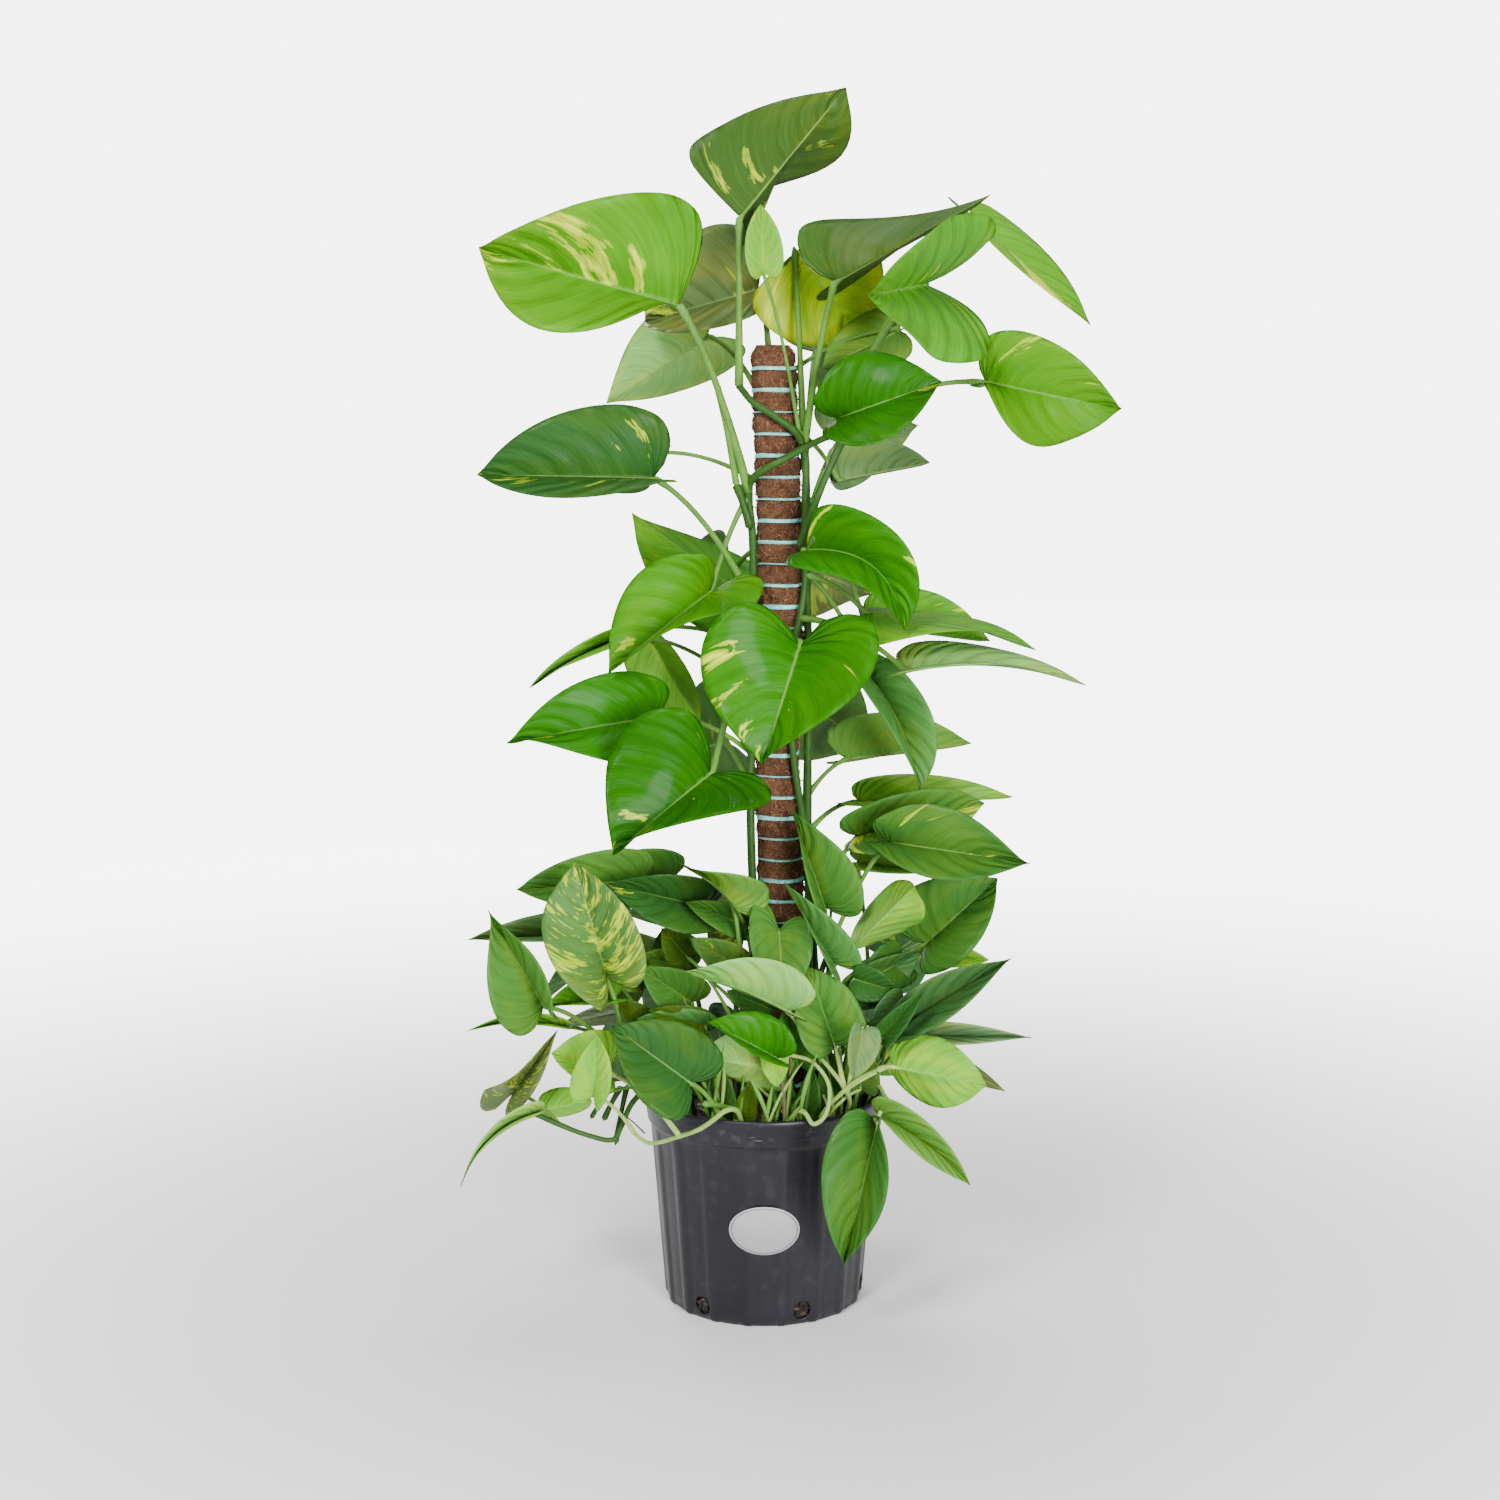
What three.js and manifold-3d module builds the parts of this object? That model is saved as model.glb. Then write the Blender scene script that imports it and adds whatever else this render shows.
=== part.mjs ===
// A golden pothos climbing a coir totem pole in a fluted nursery pot, in millimetres.
// Z is up, the front faces -Y, and the origin is the centre of the pot's flat underside.
import * as THREE from "three";
import { mergeVertices } from "three/addons/utils/BufferGeometryUtils.js";
import Module from "manifold-3d";

const wasm = await Module();
wasm.setup();

// Driving dimensions of the pot
const potHeight = 215;
const rimRadius = 120.5;
const collarHeight = 28;
const baseRadius = 100;
const wallUnderCollarRadius = 115;
const wallThickness = 2.4;
const floorThickness = 3;
const fluteCount = 18;
const fluteDepth = 2;
const drainHoleCount = 6;
const drainHoleRadius = 7.5;
const drainHoleHeight = 15;
const drainHoleTurn = 22;

// Driving dimensions of the soil, the totem pole, its twine and the label
const soilHeight = 190;
const gap = 0.35;
const stakeRadius = 10;
const stakeBottom = 46;
const stakeAcross = 15.5;
const coirRadius = 21;
const coirBottom = 197;
const coirTop = 957;
const poleDepth = 4;
const twineRadius = 1.2;
const twinePitch = 24;
const twineStepsPerTurn = 7;
const labelWidth = 70;
const labelHeight = 50;
const labelCentreHeight = 102;
const labelThickness = 0.6;

// Driving dimensions of the leaves and stems
const bladeThickness = 0.9;
const leafCurl = 24;
const petioleRadius = 1.7;
const petioleStart = 2.5;
const stemSocketDepth = 40;

// The leaves are placed as a person in front of the plant sees them. A place [across, up, depth]
// is a point of the upright plane through the pot's axis, moved along the line of sight to the
// viewing point until it lies `depth` behind that plane, or in front of it where depth is negative.
const viewingPoint = new THREE.Vector3(-14, -2360, 892);

// The half outline of a leaf blade from the lobe beside the stalk to the tip, as shares of half the
// width across and of the length along
const halfOutline = [
  [0.22, -0.05],
  [0.55, -0.065],
  [0.86, 0.01],
  [1, 0.16],
  [1, 0.33],
  [0.9, 0.53],
  [0.71, 0.71],
  [0.45, 0.85],
  [0.19, 0.94],
  [0, 1],
];

// Climbing stems: each path point is [angle round the pole in degrees, distance from its axis, height].
// Angle 0 is to the right, 90 to the back and -90 to the front.
const vines = [
  {
    name: "vine_right",
    radius: 4.6,
    path: [
      [-12, 52, soilHeight], [-8, 40, 250], [0, 32, 330], [12, 31, 480], [2, 31, 640], [10, 31, 760],
      [-4, 31, 852], [-48, 32, 872], [-90, 33, 888], [-132, 32, 902], [-168, 35, 918],
    ],
    leaves: [
      {
        base: [-23, 1078, -10], tip: [78, 1200, 30], width: 168, under: true,
        left: [-5, -25, -28], right: [-100, -78, 40], lobes: [-0.15, -0.1], at: 1,
      },
      { base: [-1, 1027, -10], tip: [-4, 1091, -5], width: 48, left: [50, 40, 50], right: [30, 30, 40], at: 0.9 },
      {
        base: [30, 1040, 46], tip: [92, 950, 78], width: 110,
        left: [5, 10, 10], right: [10, 15, 10], lobes: [-0.1, -0.1], at: 0.62,
      },
      {
        base: [70, 1017, -50], tip: [218, 1100, -60], width: 150, under: true,
        left: [-20, -66, -72], right: [-80, -88, -88], at: 0.83,
      },
      {
        base: [75, 827, 20], tip: [162, 844, 10], width: 95, under: true,
        left: [-38, -38, -42], right: [-86, -88, -88], at: 0.72,
      },
      { base: [102, 685, 60], tip: [223, 669, 50], width: 102, left: [-35, -25, 0], right: [86, 88, 88], at: 0.55 },
      {
        base: [107, 631, 5], tip: [155, 519, -30], width: 100,
        left: [65, 40, 5], right: [72, 75, 80], side: -7, at: 0.48,
      },
      {
        base: [83, 551, 30], tip: [206, 567, 50], width: 98, under: true,
        left: [-35, -20, -15], right: [-85, -88, -88], at: 0.32,
      },
      { base: [50, 950, 100], tip: [140, 1010, 190], width: 116, under: true, left: [-20, -20, -20], at: 0.59 },
      { base: [72, 862, 60], tip: [150, 880, 160], width: 100, under: true, left: [-20, -20, -20], at: 0.52 },
      { base: [45, 740, 70], tip: [105, 715, 180], width: 130, under: true, left: [-20, -20, -20], at: 0.6 },
      { base: [52, 600, 70], tip: [110, 560, 170], width: 130, under: true, left: [-20, -20, -20], at: 0.4 },
    ],
  },
  {
    name: "vine_left",
    radius: 4.6,
    path: [
      [205, 52, soilHeight], [200, 38, 260], [192, 31, 340], [184, 31, 500], [190, 31, 660], [186, 31, 780],
      [205, 31, 822], [240, 32, 836], [275, 33, 846], [310, 34, 856], [338, 46, 866], [347, 60, 872],
    ],
    leaves: [
      { base: [73, 887, -50], tip: [173, 922, -65], width: 110, left: [55, 5, 0], right: [72, 47, 65], at: 1 },
      { base: [215, 921, -40], tip: [348, 896, -30], width: 112, left: [12, 30, 68], right: [95, 8, 0], at: 0.98 },
      {
        base: [155, 1015, -40], tip: [100, 1004, -180], width: 188,
        left: [42, 26, 12], right: [66, 48, 35], toward: 0, at: 0.96,
      },
      {
        base: [197, 1081, 40], tip: [316, 976, 10], width: 110,
        left: [-66, -63, -62], right: [88, 81, 76], at: 0.99,
      },
      { base: [-84, 994, -60], tip: [-276, 1050, -60], width: 200, left: [88, 48, 35], right: [8, 36, 60], lobes: [-0.15, -0.12], at: 0.78 },
      { base: [-109, 828, -60], tip: [-281, 832, -60], width: 140, left: [88, 70, 60], right: [10, 10, 15], at: 0.66 },
      {
        base: [-54, 717, -22], tip: [-154, 637, -45], width: 122,
        left: [50, 84, 70], right: [50, 5, 0], lobes: [0.22, 0], at: 0.52,
      },
      {
        base: [-54, 536, -75], tip: [-151, 454, -115], width: 176,
        left: [45, 72, 88], right: [35, 0, 15], lobes: [0.06, 0], at: 0.36,
      },
    ],
  },
  {
    name: "vine_back",
    radius: 4.6,
    path: [
      [120, 56, soilHeight], [125, 42, 270], [135, 31, 350], [122, 31, 520], [138, 31, 680], [124, 31, 800],
      [112, 31, 880], [95, 30, 930],
    ],
    leaves: [
      { base: [-6, 1009, 100], tip: [-116, 979, 148], width: 150, left: [70, 72, 72], right: [5, 15, 30], at: 1 },
      {
        base: [131, 971, 14], tip: [57, 935, -8], width: 80, under: true,
        left: [-40, -40, -40], right: [-40, -40, -40], at: 0.95,
      },
      {
        base: [-9, 706, 30], tip: [-130, 795, 50], width: 125, under: true,
        left: [-45, -20, 0], right: [-55, -63, -75], at: 0.6,
      },
      { base: [-130, 677, 50], tip: [-233, 622, 60], width: 95, left: [82, 85, 88], right: [75, 75, 75], side: 4, at: 0.55 },
      {
        base: [-113, 670, 40], tip: [-64, 588, 10], width: 85, under: true,
        left: [-70, -62, -55], right: [-30, -30, -30], at: 0.5,
      },
      { base: [-108, 594, -20], tip: [-256, 567, -40], width: 102, left: [15, 53, 95], right: [35, 5, 50], at: 0.45 },
      { base: [-60, 985, 130], tip: [-190, 1030, 200], width: 150, under: true, left: [-20, -20, -20], at: 0.9 },
      { base: [-70, 830, 95], tip: [-170, 850, 190], width: 140, under: true, left: [-20, -20, -20], at: 0.75 },
      { base: [-40, 720, 115], tip: [-100, 700, 205], width: 130, under: true, left: [-20, -20, -20], at: 0.66 },
      { base: [-40, 570, 80], tip: [-110, 540, 180], width: 140, under: true, left: [-20, -20, -20], at: 0.4 },
    ],
  },
  {
    name: "vine_front",
    radius: 4.2,
    path: [
      [-40, 58, soilHeight], [-42, 44, 250], [-36, 32, 330], [-32, 31, 460], [-60, 31, 560], [-72, 31, 640],
      [-48, 31, 710], [-34, 31, 752],
    ],
    leaves: [
      {
        base: [41, 758, -50], tip: [138, 680, -80], width: 125,
        left: [48, 45, 0], right: [66, 62, 64], side: -28, toward: 6, lobes: [-0.15, 0], at: 1,
      },
      {
        base: [142, 640, -62], tip: [318, 625, -70], width: 120,
        left: [-63, -74, -80], right: [88, 88, 88], side: -13, at: 0.82,
      },
      {
        base: [102, 697, -10], tip: [268, 660, -20], width: 115,
        left: [-86, -82, -72], right: [45, 80, 88], side: -8, at: 0.94,
      },
      {
        base: [35, 664, -75], tip: [-1, 545, -115], width: 180,
        left: [36, 45, 78], right: [30, 0, 0], lobes: [0.16, 0.02], at: 0.76,
      },
      { base: [94, 508, 50], tip: [248, 513, 40], width: 110, left: [-60, -60, -62], right: [85, 86, 88], at: 0.45 },
      { base: [96, 474, 0], tip: [220, 507, 0], width: 106, left: [60, 50, 25], right: [72, 55, 50], at: 0.35 },
      { base: [126, 467, -50], tip: [267, 446, -70], width: 104, left: [58, 33, 80], right: [80, 52, 65], at: 0.25 },
    ],
  },
];

// Low shoots: each path point is [x, y, z]
const shoots = [
  {
    name: "shoot_left_side",
    radius: 3,
    path: [[-70, -25, soilHeight], [-76, -26, 215], [-105, -30, 240], [-150, -35, 262]],
    leaves: [
      { base: [-222, 301, -70], tip: [-277, 399, -80], width: 102, left: [30, 35, 75], right: [95, 68, 78], at: 1 },
      { base: [-206, 279, -20], tip: [-300, 274, -30], width: 70, left: [86, 86, 86], right: [76, 74, 76], side: 6, at: 0.8 },
      {
        base: [-137, 294, 0], tip: [-206, 280, -10], width: 56, under: true,
        left: [-70, -70, -70], right: [-62, -62, -62], at: 0.6,
      },
      { base: [-175, 373, 34], tip: [-298, 368, 22], width: 92, left: [84, 82, 78], right: [55, 58, 62], at: 0.9 },
    ],
  },
  {
    name: "shoot_left_upright",
    radius: 3,
    path: [[-45, -62, soilHeight], [-52, -63, 212], [-84, -64, 240], [-136, -56, 268]],
    leaves: [
      { base: [-158, 331, -50], tip: [-189, 448, -60], width: 120, left: [90, 52, -20], right: [60, 42, 42], lobes: [0, -0.1], at: 1 },
      { base: [-153, 306, -30], tip: [-221, 299, -50], width: 70, left: [85, 84, 82], right: [45, 36, 36], at: 0.9 },
      {
        base: [-173, 345, 30], tip: [-225, 303, 20], width: 62, under: true,
        left: [-86, -88, -88], right: [-55, -50, -60], at: 0.7,
      },
      { base: [-125, 335, 2], tip: [-183, 345, -4], width: 56, left: [40, 40, 40], right: [40, 40, 40], at: 0.6 },
    ],
  },
  {
    name: "shoot_left_hanging",
    radius: 3.4,
    path: [
      [-74, -58, soilHeight], [-76, -59, 212], [-92, -64, 232], [-112, -66, 234], [-130, -64, 218],
      [-142, -63, 188], [-152, -62, 168], [-178, -66, 172], [-228, -72, 210],
    ],
    leaves: [
      {
        base: [-233, 187, -80], tip: [-309, 111, -110], width: 70,
        left: [85, 84, 84], right: [68, 78, 78], side: 13, at: 1,
      },
      {
        base: [-224, 191, -60], tip: [-174, 201, -80], width: 44, under: true,
        left: [-30, -25, -25], right: [-65, -62, -60], at: 0.97,
      },
      {
        base: [-253, 211, -40], tip: [-208, 275, -70], width: 62,
        left: [35, 72, 60], right: [70, 55, 60], lobes: [0.33, 0.05], at: 0.94,
      },
    ],
  },
  {
    name: "shoot_over_rim",
    radius: 2.8,
    path: [
      [-22, -88, soilHeight], [-23, -92, 208], [-28, -103, 222], [-38, -116, 225], [-50, -121, 217],
      [-62, -115, 207], [-80, -104, 197], [-114, -80, 182], [-128, -74, 190],
    ],
    leaves: [
      { base: [-172, 208, -112], tip: [-168, 271, -126], width: 52, left: [30, 22, 30], right: [75, 45, 30], at: 1 },
      { base: [-161, 232, -75], tip: [-215, 251, -85], width: 78, left: [62, 60, 50], right: [10, 10, 0], at: 0.76 },
    ],
  },
  {
    name: "shoot_left_behind",
    radius: 3,
    path: [[-45, 30, soilHeight], [-50, 32, 220], [-68, 36, 300], [-84, 36, 370], [-94, 32, 405]],
    leaves: [
      { base: [-124, 429, 20], tip: [-248, 419, 10], width: 78, left: [65, 62, 62], right: [55, 52, 45], at: 1 },
      { base: [-94, 431, 60], tip: [-174, 439, 50], width: 80, left: [70, 72, 70], right: [68, 66, 62], at: 0.9 },
      { base: [-64, 403, 0], tip: [-158, 425, -30], width: 76, left: [72, 55, 48], right: [75, 72, 70], at: 0.8 },
      {
        base: [-74, 383, 30], tip: [-152, 400, 10], width: 60, under: true,
        left: [-76, -76, -76], right: [-76, -76, -76], at: 0.7,
      },
    ],
  },
  {
    name: "shoot_front_left",
    radius: 3,
    path: [[-42, -82, soilHeight], [-44, -82, 214], [-54, -72, 240], [-64, -58, 262], [-66, -45, 285]],
    leaves: [
      { base: [-71, 212, -112], tip: [-147, 275, -130], width: 115, left: [52, 38, 0], right: [65, 20, 0], lobes: [-0.1, -0.1], at: 0.2 },
      { base: [-61, 273, -40], tip: [-129, 287, -60], width: 60, left: [50, 45, 40], right: [50, 45, 40], at: 0.85 },
      { base: [-74, 304, -20], tip: [-127, 341, -50], width: 60, left: [30, 30, 30], right: [30, 30, 30], at: 1 },
    ],
  },
  {
    name: "shoot_centre_left",
    radius: 3,
    path: [[-22, -48, soilHeight], [-24, -48, 230], [-28, -48, 290], [-26, -50, 345], [-24, -50, 372]],
    leaves: [
      {
        base: [-31, 400, -50], tip: [-86, 447, -60], width: 82,
        left: [88, 88, 88], right: [8, 60, 85], side: 6, lobes: [0, 0.16], at: 1,
      },
      { base: [-19, 383, -20], tip: [-80, 407, -30], width: 50, left: [50, 50, 50], right: [50, 50, 50], at: 0.94 },
      { base: [-29, 342, -40], tip: [-74, 370, -60], width: 46, left: [35, 35, 35], right: [35, 35, 35], at: 0.8 },
      { base: [-96, 339, 42], tip: [-103, 378, 36], width: 42, left: [20, 20, 20], right: [20, 20, 20], at: 0.6 },
      { base: [-74, 339, 20], tip: [-125, 352, 10], width: 48, left: [40, 40, 40], right: [40, 40, 40], at: 0.66 },
    ],
  },
  {
    name: "shoot_front_arching",
    radius: 2.8,
    path: [[80, -54, soilHeight], [82, -58, 206], [84, -70, 222], [74, -88, 246], [44, -92, 284]],
    leaves: [
      { base: [22, 295, -95], tip: [-80, 336, -110], width: 98, left: [88, 88, 88], right: [45, 37, 62], side: 3, at: 1 },
      { base: [71, 259, -70], tip: [45, 340, -62], width: 90, left: [64, 44, 40], right: [40, 30, 0], lobes: [-0.1, -0.1], at: 0.7 },
      { base: [99, 275, -114], tip: [90, 223, -126], width: 42, left: [20, 10, 15], right: [60, 58, 55], at: 0.6 },
    ],
  },
  {
    name: "shoot_front_looped",
    radius: 2.6,
    path: [
      [26, -97, soilHeight], [27, -99, 210], [31, -107, 222], [39, -119, 224], [47, -126, 215], [58, -123, 222],
      [62, -114, 250], [46, -110, 272], [24, -112, 280],
    ],
    leaves: [
      { base: [12, 246, -120], tip: [-58, 283, -128], width: 72, left: [84, 79, 84], right: [50, 8, 20], at: 1 },
    ],
  },
  {
    name: "shoot_front_short",
    radius: 2.4,
    path: [[8, -86, soilHeight], [8, -87, 215], [6, -90, 240]],
    leaves: [
      {
        base: [4, 235, -94], tip: [-67, 247, -94], width: 72, under: true,
        left: [-50, -60, -62], right: [-20, -10, 0], lobes: [0.2, 0.2], at: 1,
      },
    ],
  },
  {
    name: "shoot_centre_right",
    radius: 3,
    path: [[58, -22, soilHeight], [59, -22, 230], [62, -26, 300], [64, -30, 352]],
    leaves: [
      { base: [60, 403, -20], tip: [27, 502, -30], width: 100, left: [88, 86, 86], right: [50, 40, 72], at: 1 },
      { base: [68, 346, -40], tip: [20, 427, -60], width: 78, left: [86, 86, 86], right: [70, 70, 72], at: 0.8 },
      {
        base: [92, 362, -60], tip: [151, 423, -100], width: 96, under: true,
        left: [-70, -62, -50], right: [-75, -45, 0], at: 0.9,
      },
      { base: [137, 345, -30], tip: [95, 321, -50], width: 56, left: [30, 30, 30], right: [30, 30, 30], at: 0.7 },
    ],
  },
  {
    name: "shoot_right_upright",
    radius: 3,
    path: [[70, 25, soilHeight], [72, 25, 222], [95, 22, 285], [130, 12, 340]],
    leaves: [
      { base: [163, 364, -10], tip: [234, 431, -20], width: 92, left: [30, 30, 30], right: [75, 52, 50], at: 1 },
      { base: [96, 447, 20], tip: [171, 437, 10], width: 66, left: [62, 58, 50], right: [75, 75, 70], at: 0.8 },
      { base: [162, 355, 20], tip: [227, 347, 20], width: 52, left: [60, 60, 60], right: [60, 60, 60], at: 0.9 },
    ],
  },
  {
    name: "shoot_right_side",
    radius: 3,
    path: [[82, -15, soilHeight], [84, -16, 212], [100, -30, 236], [118, -45, 262]],
    leaves: [
      { base: [134, 277, -50], tip: [249, 349, -60], width: 96, left: [78, 55, 66], right: [78, 64, 73], at: 1 },
      { base: [143, 270, -20], tip: [271, 267, -30], width: 84, left: [72, 70, 72], right: [80, 76, 78], at: 0.8 },
      { base: [122, 270, -95], tip: [162, 316, -108], width: 36, left: [50, 50, 50], right: [50, 50, 50], at: 0.9 },
    ],
  },
  {
    name: "shoot_right_low",
    radius: 2.6,
    path: [[54, -78, soilHeight], [56, -79, 208], [70, -84, 228], [92, -92, 250], [110, -97, 261]],
    leaves: [
      {
        base: [133, 236, -100], tip: [226, 217, -130], width: 78, under: true,
        left: [-40, -5, 0], right: [-72, -28, 0], lobes: [0, -0.05], at: 1,
      },
      {
        base: [188, 242, -60], tip: [245, 211, -70], width: 46, under: true,
        left: [-60, -65, -65], right: [-60, -65, -65], at: 0.6,
      },
    ],
  },
  {
    name: "shoot_right_hanging",
    radius: 2.6,
    path: [[90, -36, soilHeight], [91, -38, 212], [97, -50, 232], [112, -72, 238], [120, -88, 226]],
    leaves: [
      { base: [115, 173, -122], tip: [82, 25, -135], width: 100, left: [88, 58, 85], right: [38, 34, 70], at: 0.95 },
      {
        base: [118, 185, -100], tip: [211, 112, -120], width: 80,
        left: [58, 64, 68], right: [94, 66, 64], side: -6, at: 1,
      },
    ],
  },
  {
    name: "shoot_back_left",
    radius: 3,
    path: [[-55, 55, soilHeight], [-57, 57, 215], [-78, 74, 260], [-92, 86, 310]],
    leaves: [
      { base: [-120, 330, 100], tip: [-170, 380, 170], width: 90, under: true, left: [-20, -20, -20], at: 1 },
      { base: [-90, 300, 130], tip: [-120, 260, 210], width: 96, under: true, left: [-20, -20, -20], at: 0.9 },
      { base: [-130, 260, 60], tip: [-180, 225, 110], width: 84, under: true, left: [-20, -20, -20], at: 0.7 },
    ],
  },
  {
    name: "shoot_back_centre",
    radius: 3,
    path: [[6, 78, soilHeight], [6, 80, 220], [-6, 94, 275], [-12, 104, 330]],
    leaves: [
      { base: [-20, 380, 120], tip: [-60, 420, 190], width: 96, under: true, left: [-20, -20, -20], at: 1 },
      { base: [20, 340, 140], tip: [45, 330, 220], width: 100, under: true, left: [-20, -20, -20], at: 0.9 },
      { base: [-20, 280, 130], tip: [-40, 225, 190], width: 90, under: true, left: [-20, -20, -20], at: 0.7 },
    ],
  },
  {
    name: "shoot_back_right",
    radius: 3,
    path: [[58, 58, soilHeight], [60, 60, 215], [82, 78, 270], [98, 88, 320]],
    leaves: [
      { base: [125, 350, 100], tip: [180, 390, 160], width: 92, under: true, left: [-20, -20, -20], at: 1 },
      { base: [110, 310, 130], tip: [140, 290, 205], width: 96, under: true, left: [-20, -20, -20], at: 0.9 },
      { base: [125, 265, 70], tip: [175, 235, 120], width: 84, under: true, left: [-20, -20, -20], at: 0.7 },
    ],
  },
];

function degrees(angle) {
  return THREE.MathUtils.degToRad(angle);
}

// Solids from closed meshes, and meshes from solids

function closedMesh(geometry) {
  const bare = geometry.clone();
  bare.deleteAttribute("normal");
  bare.deleteAttribute("uv");
  return mergeVertices(bare, 1e-3);
}

// A sheet whose points at one place are one point, without the triangles that this leaves empty
function mergedSheet(sheet) {
  const merged = closedMesh(sheet);
  const kept = [];
  const index = merged.index.array;
  for (let i = 0; i < index.length; i += 3) {
    const [a, b, c] = index.subarray(i, i + 3);
    if (a !== b && b !== c && c !== a) {
      kept.push(a, b, c);
    }
  }
  merged.setIndex(kept);
  merged.computeVertexNormals();
  return merged;
}

function solidOf(geometry) {
  const merged = closedMesh(geometry);
  const vertProperties = new Float32Array(merged.attributes.position.array);
  const triVerts = new Uint32Array(merged.index.array);
  return new wasm.Manifold(new wasm.Mesh({ numProp: 3, vertProperties, triVerts }));
}

function geometryOf(solid) {
  const mesh = solid.getMesh();
  const geometry = new THREE.BufferGeometry();
  geometry.setAttribute("position", new THREE.BufferAttribute(mesh.vertProperties, 3));
  geometry.setIndex(new THREE.BufferAttribute(mesh.triVerts, 1));
  return geometry;
}

function joined(solids) {
  return solids.reduce((whole, solid) => whole.add(solid));
}

function meshOf(name, solid, material) {
  const geometry = geometryOf(solid);
  geometry.computeVertexNormals();
  const mesh = new THREE.Mesh(geometry, material);
  mesh.name = name;
  return mesh;
}

// A closed tube from rings of points: each ring holds the same number of points, counter-clockwise
// seen against the direction of travel. An open tube has no cap on its first ring.
function tubeFromRings(rings, open = false) {
  const sides = rings[0].length;
  const positions = rings.flat().flatMap((point) => point.toArray());
  const index = [];
  for (let ring = 0; ring + 1 < rings.length; ring += 1) {
    for (let side = 0; side < sides; side += 1) {
      const next = (side + 1) % sides;
      const a = ring * sides + side;
      const b = ring * sides + next;
      index.push(a, b, b + sides, a, b + sides, a + sides);
    }
  }
  const last = (rings.length - 1) * sides;
  for (let side = 1; side + 1 < sides; side += 1) {
    index.push(last, last + side, last + side + 1);
    if (!open) {
      index.push(0, side + 1, side);
    }
  }
  const geometry = new THREE.BufferGeometry();
  geometry.setAttribute("position", new THREE.Float32BufferAttribute(positions, 3));
  geometry.setIndex(index);
  return geometry;
}

// A tube of the given sides along points, with one radius for each point. The first corner of each
// ring stands `turn` round from the direction across.
function tubeAlong(points, radii, sides, { across = new THREE.Vector3(1, 0, 0), turn = 0, open = false } = {}) {
  const rings = [];
  points.forEach((point, i) => {
    const before = points[Math.max(i - 1, 0)];
    const after = points[Math.min(i + 1, points.length - 1)];
    const inward = point.clone().sub(before).normalize();
    const outward = after.clone().sub(point).normalize();
    const along = inward.add(outward).normalize();
    if (Math.abs(across.dot(along)) > 0.95) {
      across = new THREE.Vector3(0, 1, 0);
    }
    across = across.clone().addScaledVector(along, -across.dot(along)).normalize();
    const up = along.clone().cross(across);
    const ring = [];
    for (let side = 0; side < sides; side += 1) {
      const angle = turn + (2 * Math.PI * side) / sides;
      ring.push(
        point
          .clone()
          .addScaledVector(across, radii[i] * Math.cos(angle))
          .addScaledVector(up, radii[i] * Math.sin(angle)),
      );
    }
    rings.push(ring);
  });
  return tubeFromRings(rings, open);
}

// The leaf blade

// A place seen from the front as a point of space
function placed([across, up, depth]) {
  const seen = new THREE.Vector3(across, 0, up);
  const share = 1 + depth / -viewingPoint.y;
  return viewingPoint.clone().lerp(seen, share);
}

// The frame of a leaf as seen from the front: from base to tip, to the right of that, and towards
// the viewing point
function leafFrame(leaf) {
  const base = placed(leaf.base);
  const chord = placed(leaf.tip).sub(base);
  const length = chord.length();
  const along = chord.normalize();
  const sight = viewingPoint.clone().sub(base);
  const facing = sight.addScaledVector(along, -sight.dot(along)).normalize();
  const right = along.clone().cross(facing);
  return { base, length, along, facing, right };
}

// One value at a share of the leaf's length, from values at the base, the middle and the tip
function between([first, middle, last], share) {
  const t = Math.max(0, share);
  return first * (1 - t) * (1 - 2 * t) + 4 * middle * t * (1 - t) + last * t * (2 * t - 1);
}

// The point of a bent blade that lies `across` half widths from the midrib and `length` lengths from
// the stalk. The midrib bows to the side and towards the viewer. Each half leaves it at its own angle
// to the picture, larger than 0 where its edge comes forward, and curls back along the way.
function bladePoint(leaf, frame, across, length) {
  const face = leaf.under ? -1 : 1;
  const side = leaf.side ?? 0;
  const toward = leaf.toward ?? face * 0.07 * frame.length;
  const t = Math.max(0, length);
  const point = frame.base
    .clone()
    .addScaledVector(frame.along, frame.length * t)
    .addScaledVector(frame.right, 4 * side * t * (1 - t))
    .addScaledVector(frame.facing, 4 * toward * t * (1 - t));
  const tangent = frame.along
    .clone()
    .multiplyScalar(frame.length)
    .addScaledVector(frame.right, 4 * side * (1 - 2 * t))
    .addScaledVector(frame.facing, 4 * toward * (1 - 2 * t))
    .normalize();
  const right = tangent.clone().cross(frame.facing).normalize();
  const facing = right.clone().cross(tangent);
  point.addScaledVector(tangent, frame.length * Math.min(0, length));
  const angles = across < 0 ? leaf.left : (leaf.right ?? leaf.left);
  const reach = (Math.abs(across) * leaf.width) / 2;
  const curl = (face * degrees(leafCurl)) / (leaf.width / 2);
  const start = degrees(between(angles, length)) + (face * degrees(leafCurl)) / 2;
  const outward = (Math.sin(start) - Math.sin(start - curl * reach)) / curl;
  const forward = (Math.cos(start - curl * reach) - Math.cos(start)) / curl;
  return point.addScaledVector(right, Math.sign(across) * outward).addScaledVector(facing, forward);
}

const outlineCurve = new THREE.CatmullRomCurve3(halfOutline.map(([x, y]) => new THREE.Vector3(x, y, 0)));

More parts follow.
